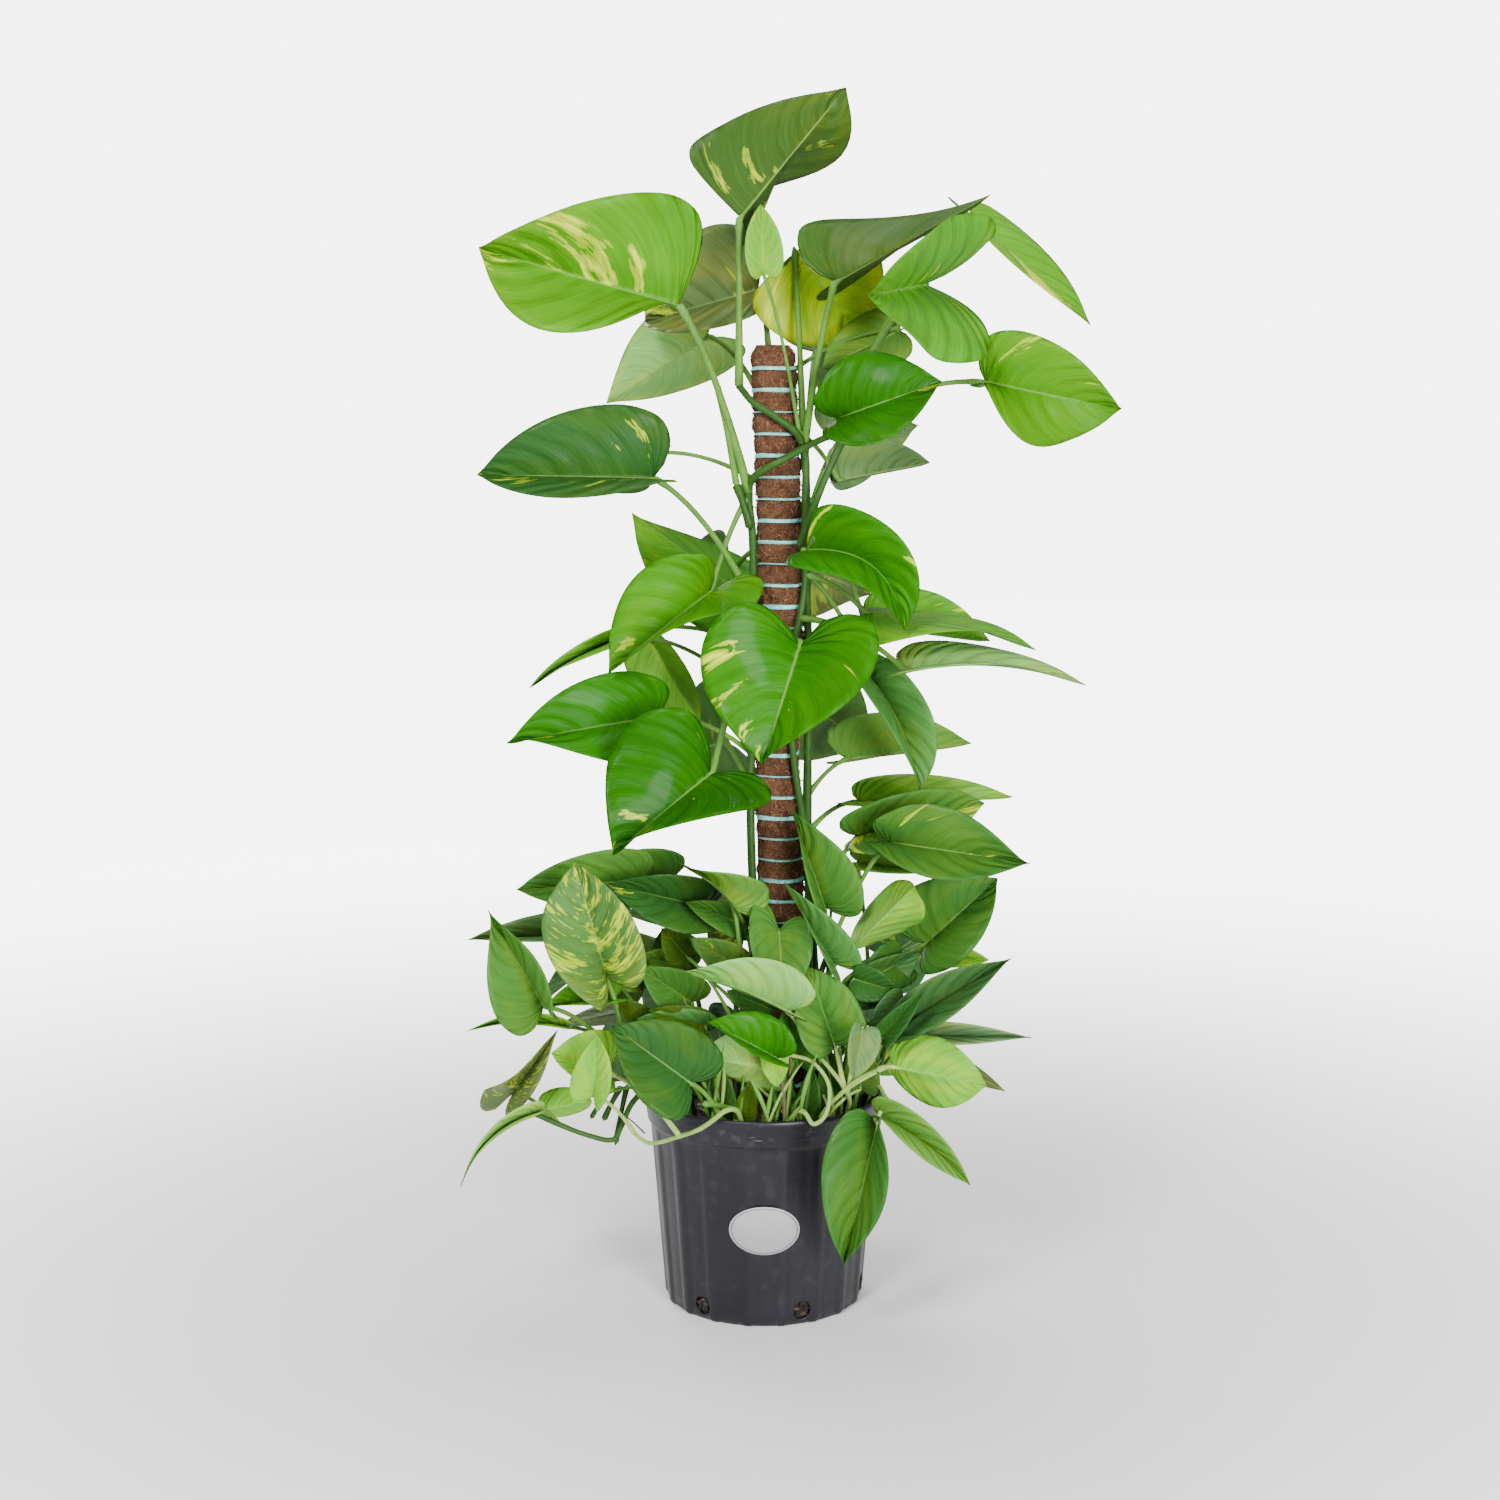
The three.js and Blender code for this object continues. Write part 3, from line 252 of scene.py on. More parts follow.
VINES = [
    stem(
        "vine_right", 4.6, [
            (-12, 52, 190), (-8, 40, 250), (0, 32, 330), (12, 29, 480), (-8, 29, 640), (-34, 29, 760),
            (-28, 30, 852), (-52, 32, 872), (-90, 33, 888), (-132, 32, 902), (-168, 35, 918),
        ],
        leaf(
            (-23, 1078, -10), (78, 1200, 30), 168, (-5, -25, -28), (-100, -78, 40), 1, "shaded", 0.12,
            under=True, lobes=(-0.15, -0.1),
            bands=[
                (-1, 0.5, 0.02, 0.15, 0.6, 1.5), (-1, 0.38, 0.05, 0.3, 0.95, 0.9),
                (1, 0.65, 0.02, 0.35, 0.75, 1.4),
            ],
        ),
        leaf((-1, 1027, -10), (-4, 1091, -5), 46, (50, 40, 50), (30, 30, 40), 0.67, "young", 0.2),
        leaf(
            (30, 1046, 46), (96, 962, 78), 140, (5, 10, 10), (10, 15, 10), 0.62, "backlit", 0.35,
            lobes=(-0.1, -0.1),
        ),
        leaf(
            (70, 1017, -50), (218, 1100, -60), 150, (-20, -66, -72), (-80, -88, -88), 0.61, "shaded", 0.1,
            under=True,
        ),
        leaf(
            (75, 827, 20), (162, 844, 10), 95, (-38, -38, -42), (-86, -88, -88), 0.72, "ashen", under=True,
        ),
        leaf((102, 685, 60), (223, 669, 50), 102, (-35, -25, 0), (86, 88, 88), 0.55, "fresh", 0.1),
        leaf((107, 631, 5), (155, 519, -30), 100, (65, 40, 5), (72, 75, 80), 0.48, "leafy", side=-7),
        leaf((83, 551, 30), (206, 567, 50), 98, (-35, -20, -15), (-85, -88, -88), 0.32, "pale", under=True),
        leaf((50, 950, 100), (140, 1010, 190), 116, -20, -20, 0.59, "ashen", 0.3, under=True),
        leaf((72, 862, 60), (150, 880, 160), 100, -20, -20, 0.52, "ashen", 0.1, under=True),
        leaf((45, 740, 70), (105, 715, 180), 130, -20, -20, 0.6, "grey", 0.3, under=True),
        leaf((52, 600, 70), (110, 560, 170), 130, -20, -20, 0.4, "dull", 0.2, under=True),
    ),
    stem(
        "vine_left", 4.6, [
            (205, 52, 190), (200, 38, 260), (192, 30, 340), (186, 28, 500), (196, 28, 660), (194, 28, 770),
            (203, 31, 822), (240, 32, 836), (275, 33, 846), (310, 34, 856), (338, 46, 866), (347, 60, 872),
        ],
        leaf((73, 887, -50), (173, 922, -65), 110, (55, 5, 0), (72, 47, 65), 1, "rich", 0.05),
        leaf((215, 921, -40), (348, 896, -30), 112, (12, 30, 68), (95, 8, 0), 0.98, "grassy", 0.1),
        leaf(
            (155, 1015, -40), (100, 1004, -180), 188, (42, 26, 12), (66, 48, 35), 0.96, "fresh", 0.25,
            toward=0,
        ),
        leaf((197, 1081, 40), (316, 976, 10), 110, (-66, -63, -62), (88, 81, 76), 0.99, "light", 0.5),
        leaf(
            (-84, 994, -60), (-276, 1050, -60), 200, (88, 48, 35), (8, 36, 60), 0.53, "sunlit", 0.1,
            lobes=(-0.15, -0.06), spread=((0.4, 0.95, 1.05), (1.02, 1, 0.95)),
            bands=[
                (1, 0.56, 0.046, 0, 1, 1.7), (1, 0.47, 0.018, 0.05, 0.5, 1.6), (1, 0.67, 0.03, 0, 0.8, 1.0),
                (-1, 0.86, 0.07, 0, 0.9, 1.5), (-1, 0.74, 0.03, 0.7, 1, 1.5), (1, 0.86, 0.04, 0.5, 1, 0.9),
            ],
        ),
        leaf(
            (-109, 828, -60), (-281, 832, -60), 140, (88, 70, 60), (10, 10, 15), 0.4, "deep", 0.25,
            bands=[(1, 0.33, 0.026, 0.3, 0.8, 1.5), (1, 0.44, 0.012, 0.2, 0.5, 0.9)],
        ),
        leaf(
            (-54, 717, -22), (-154, 637, -45), 122, (50, 84, 70), (50, 5, 0), 0.52, "grassy", 0.1,
            lobes=(0.22, 0),
        ),
        leaf(
            (-54, 536, -75), (-151, 454, -115), 176, (45, 72, 88), (35, 0, 15), 0.36, "rich", 0.06,
            lobes=(0.06, 0),
            bands=[
                (1, 0.68, 0.024, 0.15, 0.7, 1.5), (-1, 0.5, 0.016, 0.15, 0.4, 1.1),
                (1, 0.8, 0.024, 0.6, 1, 1.4),
            ],
        ),
        side_stems=[
            ((80, 874, -28), (33, 757, -30), 4.0, "stem"), ((-29, 870, -8), (-27, 823, -8), 1.4, "root"),
            ((-26, 815, -10), (-47, 923, -20), 3.2, "stalk"),
            ((-28, 824, -10), (-13, 778, -8), 4.2, "stem"),
        ],
    ),
    stem(
        "vine_back", 4.6, [
            (120, 56, 190), (125, 42, 270), (135, 31, 350), (122, 31, 520), (138, 31, 680), (124, 31, 800),
            (112, 31, 880), (95, 30, 930),
        ],
        leaf((-6, 1009, 100), (-116, 979, 148), 150, (70, 72, 72), (5, 15, 30), 1, "grey", 0.4),
        leaf((131, 971, 14), (57, 935, -8), 80, -40, -40, 0.95, "pale", under=True),
        leaf(
            (-9, 706, 30), (-130, 795, 50), 125, (-45, -20, 0), (-55, -63, -75), 0.6, "fresh", 0.1,
            under=True,
        ),
        leaf((-130, 677, 50), (-233, 622, 60), 95, (82, 85, 88), 75, 0.55, "young", side=4),
        leaf((-113, 670, 40), (-64, 588, 10), 85, (-70, -62, -55), -30, 0.5, "young", under=True),
        leaf((-108, 594, -20), (-256, 567, -40), 102, (15, 53, 95), (35, 5, 50), 0.45, "bright", 0.05),
        leaf((-55, 964, 130), (-154, 901, 175), 124, -50, -25, 0.9, "milky", 0.3, under=True),
        leaf((-126, 851, 60), (-226, 845, 150), 82, -20, -20, 0.75, "olive", 0.1, under=True),
        leaf((-40, 720, 115), (-100, 700, 205), 130, -20, -20, 0.66, "dull", 0.2, under=True),
        leaf((-40, 570, 80), (-110, 540, 180), 140, -20, -20, 0.4, "mid", 0.3, under=True),
    ),
    stem(
        "vine_front", 4.2, [
            (-40, 58, 190), (-42, 44, 250), (-36, 32, 330), (-32, 31, 460), (-60, 31, 560), (-72, 31, 640),
            (-48, 31, 710), (-34, 31, 752),
        ],
        leaf(
            (41, 758, -50), (138, 680, -80), 125, (48, 45, 0), (66, 62, 64), 1, "bright", 0.05, side=-28,
            toward=6, lobes=(-0.15, 0),
            bands=[(-1, 0.29, 0.022, 0.2, 0.85, 1.4), (1, 0.52, 0.016, 0.4, 0.8, 1.1)],
        ),
        leaf((142, 640, -62), (318, 625, -70), 120, (-63, -74, -80), 88, 0.82, "milky", side=-13),
        leaf((102, 697, -10), (268, 660, -20), 115, (-86, -82, -72), (45, 80, 88), 0.94, "fresh", side=-8),
        leaf(
            (35, 664, -75), (-1, 545, -115), 180, (36, 45, 78), (30, 0, 0), 0.76, "bright", 0.1,
            lobes=(0.16, 0.02),
            bands=[
                (1, 0.41, 0.024, 0.72, 1, 1.45), (1, 0.54, 0.02, 0.5, 1, 1.2),
                (1, 0.2, 0.014, 0.1, 0.6, 1.2), (1, 0.68, 0.026, 0.35, 0.95, 1.4),
                (1, 0.79, 0.026, 0.3, 1, 1.4), (-1, 0.62, 0.02, 0.1, 0.3, 1.0),
            ],
        ),
        leaf((94, 508, 50), (248, 513, 40), 110, (-60, -60, -62), (85, 86, 88), 0.45, "young"),
        leaf((96, 474, 0), (220, 507, 0), 106, (60, 50, 25), (72, 55, 50), 0.35, "mid", 0.5),
        leaf((126, 467, -50), (267, 446, -70), 104, (58, 33, 80), (80, 52, 65), 0.25, "dark", 0.15),
    ),
]

SHOOTS = [
    stem(
        "shoot_left_side", 3, [(-70, -25, 190), (-76, -26, 215), (-105, -30, 240), (-150, -35, 262)],
        leaf((-222, 301, -70), (-277, 399, -80), 102, (30, 35, 75), (95, 68, 78), 1, "mid"),
        leaf((-206, 279, -20), (-300, 274, -30), 70, 86, (76, 74, 76), 0.8, "young", side=6),
        leaf((-137, 294, 0), (-206, 280, -10), 56, -70, -62, 0.6, "grey", under=True),
        leaf((-175, 373, 34), (-298, 368, 22), 92, (84, 82, 78), (55, 58, 62), 0.9, "ashen", 0.3),
    ),
    stem(
        "shoot_left_upright", 3, [(-45, -62, 190), (-52, -63, 212), (-84, -64, 240), (-136, -56, 268)],
        leaf(
            (-159, 331, -50), (-189, 448, -60), 134, (74, 32, -20), (62, 46, 44), 1, "speckled", 0.8,
            lobes=(0, -0.1),
        ),
        leaf((-153, 306, -30), (-221, 299, -50), 70, (85, 84, 82), (45, 36, 36), 0.9, "fresh", 0.5),
        leaf(
            (-173, 345, 30), (-225, 303, 20), 62, (-86, -88, -88), (-55, -50, -60), 0.7, "bluish",
            under=True,
        ),
        leaf((-125, 335, 2), (-183, 345, -4), 56, 40, 40, 0.6, "dull"),
    ),
    stem(
        "shoot_left_hanging", 3.4, [
            (-74, -58, 190), (-76, -59, 212), (-92, -64, 232), (-112, -66, 234), (-130, -64, 218),
            (-141, -63, 194), (-149, -62, 180), (-176, -66, 186), (-228, -72, 210),
        ],
        leaf(
            (-233, 187, -80), (-309, 111, -110), 70, (85, 84, 84), (68, 78, 78), 1, "milky", 0.05, side=13,
        ),
        leaf(
            (-224, 191, -60), (-174, 201, -80), 44, (-30, -25, -25), (-65, -62, -60), 0.97, "young", 0.1,
            under=True,
        ),
        leaf(
            (-253, 211, -40), (-208, 275, -70), 62, (35, 72, 60), (70, 55, 60), 0.94, "grey", 0.65,
            lobes=(0.33, 0.05),
        ),
        side_stems=[
            ((-115, 229, -40), (-173, 216, -44), 2.6, "old"),
            ((-117, 217, -46), (-169, 207, -50), 2.2, "stalk"),
            ((-138, 219, -44), (-151, 154, -58), 2.8, "stem"),
            ((-144, 217, -40), (-163, 180, -36), 3.0, "stem"),
            ((-154, 215, -38), (-176, 182, -34), 2.4, "stem"),
            ((-145, 189, -50), (-120, 166, -52), 0.8, "root"),
        ],
    ),
    stem(
        "shoot_over_rim", 2.8, [
            (-22, -88, 190), (-23, -92, 208), (-28, -103, 222), (-38, -116, 225), (-50, -121, 217),
            (-62, -115, 207), (-80, -104, 197), (-114, -80, 182), (-128, -74, 190),
        ],
        leaf((-172, 208, -112), (-168, 271, -126), 52, (30, 22, 30), (75, 45, 30), 1, "young", 0.05),
        leaf((-161, 232, -75), (-215, 251, -85), 78, (62, 60, 50), (10, 10, 0), 0.76, "young", 0.3),
    ),
    stem(
        "shoot_left_behind", 3, [
            (-45, 30, 190), (-50, 32, 220), (-68, 36, 300), (-84, 36, 370), (-94, 32, 405),
        ],
        leaf((-124, 429, 20), (-248, 419, 10), 86, 50, 40, 1, "mid"),
        leaf((-94, 431, 60), (-174, 439, 50), 84, (48, 50, 50), (48, 46, 46), 0.9, "dark"),
        leaf((-64, 403, 0), (-158, 425, -30), 84, (50, 40, 40), (52, 50, 50), 0.8, "deep", 0.05),
        leaf((-74, 383, 30), (-152, 400, 10), 60, -76, -76, 0.7, "mid", under=True),
        spears=5,
    ),
    stem(
        "shoot_front_left", 3, [
            (-42, -82, 190), (-44, -82, 214), (-54, -72, 240), (-64, -58, 262), (-66, -45, 285),
        ],
        leaf(
            (-76, 221, -112), (-153, 279, -124), 96, (30, 26, 26), (22, 16, 16), 0.2, "deep",
            lobes=(0.02, 0.06),
        ),
        leaf((-61, 273, -40), (-129, 287, -60), 60, (50, 45, 40), (50, 45, 40), 0.85, "leafy"),
        leaf((-74, 304, -20), (-127, 341, -50), 60, 30, 30, 1, "mid"),
        leaf((-85, 314, -25), (-128, 335, -45), 48, 35, 30, 0.6, "bluish"),
        leaf((-62, 281, -50), (-117, 296, -65), 40, 35, 40, 0.1, "olive"),
        leaf((-123, 285, -35), (-151, 308, -50), 32, 40, 30, 0.3, "olive"),
        leaf((-42, 189, -60), (-48, 244, -66), 38, 35, 35, 0.05, "deep"),
        leaf((-20, 183, -62), (-12, 225, -70), 28, 30, 30, 0.03, "olive"),
        side_stems=[((-22, 189, -70), (-63, 198, -96), 3.0, "stalk")],
        spears=7,
    ),
    stem(
        "shoot_centre_left", 3, [
            (-22, -48, 190), (-24, -48, 230), (-28, -48, 290), (-26, -50, 345), (-24, -50, 372),
        ],
        leaf((-31, 400, -50), (-86, 447, -60), 82, 88, (8, 60, 85), 1, "pale", side=6, lobes=(0, 0.16)),
        leaf((-19, 383, -20), (-80, 407, -30), 50, 50, 50, 0.94, "dark"),
        leaf((-29, 342, -40), (-74, 370, -60), 46, 35, 35, 0.8, "dull", 0.1),
        leaf((-96, 339, 42), (-103, 378, 36), 42, 20, 20, 0.6, "mid"),
        leaf((-74, 339, 20), (-125, 352, 10), 48, 40, 40, 0.66, "pale"),
        leaf((15, 376, -45), (20, 304, -70), 76, 30, 40, 0.5, "mid", lobes=(0.05, 0.3)),
        leaf((8, 296, -40), (-38, 316, -50), 42, 35, 40, 0.25, "deep"),
        leaf((-36, 349, -15), (-76, 370, -25), 36, 30, 40, 0.6, "mid"),
        leaf((-78, 351, -5), (-103, 380, -10), 46, 35, 30, 0.5, "olive"),
        spears=8,
    ),
    stem(
        "shoot_front_arching", 2.8, [
            (80, -54, 190), (82, -58, 206), (84, -70, 222), (74, -88, 246), (44, -92, 284),
        ],
        leaf((22, 295, -95), (-80, 336, -110), 98, 88, (45, 37, 62), 1, "milky", 0.1, side=3),
        leaf((71, 259, -70), (45, 340, -62), 90, (64, 44, 40), (40, 30, 0), 0.7, "mid", lobes=(-0.1, -0.1)),
        leaf((99, 275, -114), (90, 223, -126), 42, (20, 10, 15), (60, 58, 55), 0.6, "ashen"),
        spears=6,
    ),
    stem(
        "shoot_front_looped", 2.6, [
            (26, -97, 190), (27, -99, 210), (31, -107, 222), (39, -119, 224), (47, -126, 215),
            (58, -123, 222), (62, -114, 250), (46, -110, 272), (24, -112, 280),
        ],
        leaf((12, 246, -120), (-58, 283, -128), 72, (84, 79, 84), (50, 8, 20), 1, "bright"),
        spears=6,
    ),
    stem(
        "shoot_front_short", 2.4, [(8, -86, 190), (8, -87, 215), (6, -90, 240)],
        leaf(
            (4, 235, -94), (-67, 247, -94), 72, (-50, -60, -62), (-20, -10, 0), 1, "milky", 0.35,
            under=True, lobes=(0.2, 0.2),
        ),
        leaf((10, 254, -98), (13, 215, -104), 30, 20, 25, 0.9, "young"),
        leaf((34, 240, -62), (24, 306, -66), 50, 30, 30, 0.12, "dark"),
        leaf((23, 185, -58), (12, 240, -66), 36, 35, 35, 0.03, "deep"),
        leaf((43, 183, -50), (50, 237, -58), 34, 35, 35, 0.05, "dark"),
        spears=9,
    ),
    stem(
        "shoot_centre_right", 3, [(58, -22, 190), (59, -22, 230), (62, -26, 300), (64, -30, 352)],
        leaf((60, 403, -20), (27, 502, -30), 104, (84, 80, 84), (42, 36, 60), 1, "mid"),
        leaf((68, 346, -40), (20, 427, -60), 84, (80, 84, 84), (48, 50, 60), 0.8, "leafy"),
        leaf(
            (92, 362, -60), (151, 423, -100), 96, (-70, -62, -50), (-75, -45, 0), 0.9, "young", 0.1,
            under=True,
        ),
        leaf((137, 345, -30), (95, 321, -50), 56, 30, 30, 0.7, "deep"),
        leaf((93, 320, -30), (157, 357, -30), 62, 62, 25, 0.4, "bluish"),
        leaf((93, 327, -55), (137, 314, -60), 42, 40, 25, 0.25, "deep"),
        leaf((140, 306, -62), (104, 271, -75), 36, 30, 30, 0.3, "bluish"),
        leaf((40, 242, -55), (33, 300, -62), 38, 30, 40, 0.08, "deep"),
        leaf((67, 210, -45), (65, 260, -50), 28, 30, 30, 0.04, "deep"),
        leaf((68, 447, 30), (22, 433, 30), 34, 30, 30, 0.9, "fresh"),
        spears=8,
    ),
    stem(
        "shoot_right_upright", 3, [(70, 25, 190), (72, 25, 222), (95, 22, 285), (130, 12, 340)],
        leaf((163, 364, -10), (234, 431, -20), 112, (22, 22, 26), (60, 46, 44), 1, "dark"),
        leaf((96, 447, 20), (171, 437, 10), 66, (62, 58, 50), (75, 75, 70), 0.8, "pale"),
        leaf((162, 355, 20), (227, 347, 20), 52, 60, 60, 0.9, "young", 0.6),
        spears=5,
    ),
    stem(
        "shoot_right_side", 3, [(82, -15, 190), (84, -16, 212), (100, -30, 236), (118, -45, 262)],
        leaf((134, 277, -50), (249, 349, -60), 96, (78, 55, 66), (78, 64, 73), 1, "bluish"),
        leaf((143, 270, -20), (271, 267, -30), 84, (72, 70, 72), (80, 76, 78), 0.8, "silver"),
        leaf((122, 270, -95), (162, 316, -108), 36, 50, 50, 0.9, "deep"),
        spears=4,
    ),
    stem(
        "shoot_right_low", 2.6, [
            (54, -78, 190), (56, -79, 208), (70, -84, 228), (92, -92, 250), (110, -97, 261),
        ],
        leaf(
            (133, 236, -100), (226, 217, -130), 78, (-40, -5, 0), (-72, -28, 0), 1, "young", 0.1,
            under=True, lobes=(0, -0.05),
        ),
        leaf(
            (188, 242, -60), (245, 211, -70), 46, (-60, -65, -65), (-60, -65, -65), 0.6, "grey", under=True,
        ),
        leaf((98, 215, -60), (103, 265, -80), 40, 20, 20, 0.1, "dull"),
    ),
    stem(
        "shoot_right_hanging", 2.6, [
            (90, -36, 190), (91, -38, 212), (97, -50, 232), (112, -72, 238), (120, -88, 226),
        ],
        leaf((115, 173, -122), (82, 25, -135), 100, (88, 58, 85), (38, 34, 70), 0.95, "dark"),
        leaf((118, 185, -100), (211, 112, -120), 80, (58, 64, 68), (94, 66, 64), 1, "pale", 0.15, side=-6),
    ),
    stem(
        "shoot_back_left", 3, [(-55, 55, 190), (-57, 57, 215), (-78, 74, 260), (-92, 86, 310)],
        leaf((-120, 330, 100), (-170, 380, 170), 90, -20, -20, 1, "olive", 0.2, under=True),
        leaf((-90, 300, 130), (-120, 260, 210), 96, -20, -20, 0.9, "deep", 0.1, under=True),
        leaf((-130, 260, 60), (-180, 225, 110), 84, -20, -20, 0.7, "bluish", under=True),
        spears=4,
    ),
    stem(
        "shoot_back_centre", 3, [(6, 78, 190), (6, 80, 220), (-6, 94, 275), (-12, 104, 330)],
        leaf((-20, 380, 120), (-60, 420, 190), 96, -20, -20, 1, "olive", 0.3, under=True),
        leaf((20, 340, 140), (45, 330, 220), 100, -20, -20, 0.9, "deep", under=True),
        leaf((-20, 280, 130), (-40, 225, 190), 90, -20, -20, 0.7, "deep", 0.1, under=True),
        spears=4,
    ),
    stem(
        "shoot_back_right", 3, [(58, 58, 190), (60, 60, 215), (82, 78, 270), (98, 88, 320)],
        leaf((125, 350, 100), (180, 390, 160), 92, -20, -20, 1, "bluish", 0.1, under=True),
        leaf((110, 310, 130), (140, 290, 205), 96, -20, -20, 0.9, "bluish", under=True),
        leaf((125, 265, 70), (175, 235, 120), 84, -20, -20, 0.7, "mid", 0.2, under=True),
        spears=4,
    ),
]

# Curves, sheets and tubes


def smooth_step(low, high, value):
    share = min(1, max(0, (value - low) / (high - low)))
    return share * share * (3 - 2 * share)


def bell(off, half_width):
    """1 in the middle, and softly less to both sides."""
    return math.exp(-((off / half_width) ** 2))


def ring_point(angle, reach, height=0):
    return Vector((reach * math.cos(angle), reach * math.sin(angle), height))


def curve_point(points, share):
    """The point of a centripetal Catmull-Rom curve through the points."""
    place = (len(points) - 1) * min(1, max(0, share))
    first = min(int(place), len(points) - 2)
    weight = place - first
    before = points[first - 1] if first > 0 else 2 * points[0] - points[1]
    start = points[first]
    end = points[first + 1]
    after = points[first + 2] if first + 2 < len(points) else 2 * points[-1] - points[-2]
    step_in = (start - before).length ** 0.5
    step = (end - start).length ** 0.5
    step_out = (after - end).length ** 0.5
    chord = end - start
    leaving = ((start - before) / step_in - (end - before) / (step_in + step) + chord / step) * step
    reaching = (chord / step - (after - start) / (step + step_out) + (after - end) / step_out) * step
    square = weight * weight
    cube = square * weight
    return (
        start
        + leaving * weight
        + (3 * chord - 2 * leaving - reaching) * square
        + (2 * (start - end) + leaving + reaching) * cube
    )


def curve_points(points, steps):
    return [curve_point(points, i / steps) for i in range(steps + 1)]


def layers_of(bm):
    """The layers that the pieces carry: a map that follows the surface, a tone and traits."""
    return (
        bm.loops.layers.uv.get("surface") or bm.loops.layers.uv.new("surface"),
        bm.verts.layers.float_color.get("tone") or bm.verts.layers.float_color.new("tone"),
        bm.verts.layers.float_vector.get("traits") or bm.verts.layers.float_vector.new("traits"),
    )


def new_grid(bm, columns, rows):
    return bmesh.ops.create_grid(bm, x_segments=columns, y_segments=rows, size=1)["verts"]


def join_doubles(bm, verts):
    bmesh.ops.remove_doubles(bm, verts=verts, dist=1e-6)


def smooth(bm):
    for face in bm.faces:
        face.smooth = True


def add_sheet(bm, columns, rows, place):
    """A smooth sheet, whose points lie where place puts a share across and the number of a row."""
    verts = new_grid(bm, columns, rows)
    for vert in verts:
        vert.co = place((vert.co.x + 1) / 2, round((vert.co.y + 1) / 2 * rows)) * MM
    join_doubles(bm, verts)
    smooth(bm)


def tube(points, radii, tone, seed=0, across=(1, 0, 0)):
    """A tube with a radius at each point. across is the way in which its first ring starts."""
    return SimpleNamespace(points=points, radii=radii, tone=tone, seed=seed, across=across)


def tube_rings(shape):
    """The rings of one tube: a centre, two ways across and a radius each, with a point at both ends."""
    points = shape.points
    side_way = Vector(shape.across)
    rings = []
    for i, point in enumerate(points):
        along = (points[min(i + 1, len(points) - 1)] - points[max(i - 1, 0)]).normalized()
        if abs(side_way.dot(along)) > 0.95:
            side_way = Vector((0, 1, 0))
        side_way = (side_way - along * side_way.dot(along)).normalized()
        rings.append((point, side_way, along.cross(side_way), shape.radii[i]))
    if shape.radii[0] > 0:
        rings.insert(0, (*rings[0][:3], 0))
    if shape.radii[-1] > 0:
        rings.append((*rings[-1][:3], 0))
    return rings


def add_tubes(bm, shapes, sides, material=0, oval=1):
    """Closed tubes along lines of points, all cut from one long grid."""
    uv, tone_layer, traits = layers_of(bm)
    rings = []
    for shape in shapes:
        own = tube_rings(shape)
        rings += [(*ring, shape, i / (len(own) - 1)) for i, ring in enumerate(own)]
    steps = len(rings) - 1

    def ring_of(vert):
        return rings[round((vert.co.y + 1) / 2 * steps)]

    grid = new_grid(bm, sides, steps)
    gaps = []
    for face in {face for vert in grid for face in vert.link_faces}:
        if len({id(ring_of(vert)[4]) for vert in face.verts}) > 1:
            gaps.append(face)
            continue
        face.material_index = material
        face.smooth = True
        for loop in face.loops:
            loop[uv].uv = ((loop.vert.co.x + 1) / 2, ring_of(loop.vert)[5])
    bmesh.ops.delete(bm, geom=gaps, context="FACES")
    for vert in grid:
        turn = math.pi * (vert.co.x + 1)
        point, right, up, radius, shape, _ = ring_of(vert)
        vert.co = (point + right * (radius * math.cos(turn)) + up * (radius * oval * math.sin(turn))) * MM
        vert[tone_layer] = (*shape.tone, 1)
        vert[traits] = (0, shape.seed, 0)
    join_doubles(bm, grid)


# Pieces of the scene


def new_object(name, bm):
    mesh = bpy.data.meshes.new(name)
    bm.to_mesh(mesh)
    bm.free()
    made = bpy.data.objects.new(name, mesh)
    bpy.context.scene.collection.objects.link(made)
    return made


def keep_piece(piece, slot, node, *materials):
    """A piece with its materials, which rides on the object and stands for a node of the frame."""
    for material in materials:
        piece.data.materials.append(material)
    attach(piece, "root")
    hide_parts(node)


# The leaf blade


def placed(place):
    """A place seen from the front, (across, up, depth), as a point."""
    across, up, depth = place
    return VIEWING_POINT.lerp(Vector((across, 0, up)), 1 + depth / -VIEWING_POINT.y)


def leaf_frame(row):
    """Where a leaf starts, how long it is, and the ways along it, to the viewer and to its right."""
    base = placed(row.base)
    chord = placed(row.tip) - base
    along = chord.normalized()
    sight = VIEWING_POINT - base
    facing = (sight - along * sight.dot(along)).normalized()
    return SimpleNamespace(
        base=base, length=chord.length, along=along, facing=facing, right=along.cross(facing),
    )


def between(values, share):
    """One value at a share of the leaf's length, from values at the base, the middle and the tip."""
    first, middle, last = values
    share = max(0, share)
    rest = 1 - share
    return first * rest * (rest - share) + 4 * middle * share * rest + last * share * (share - rest)


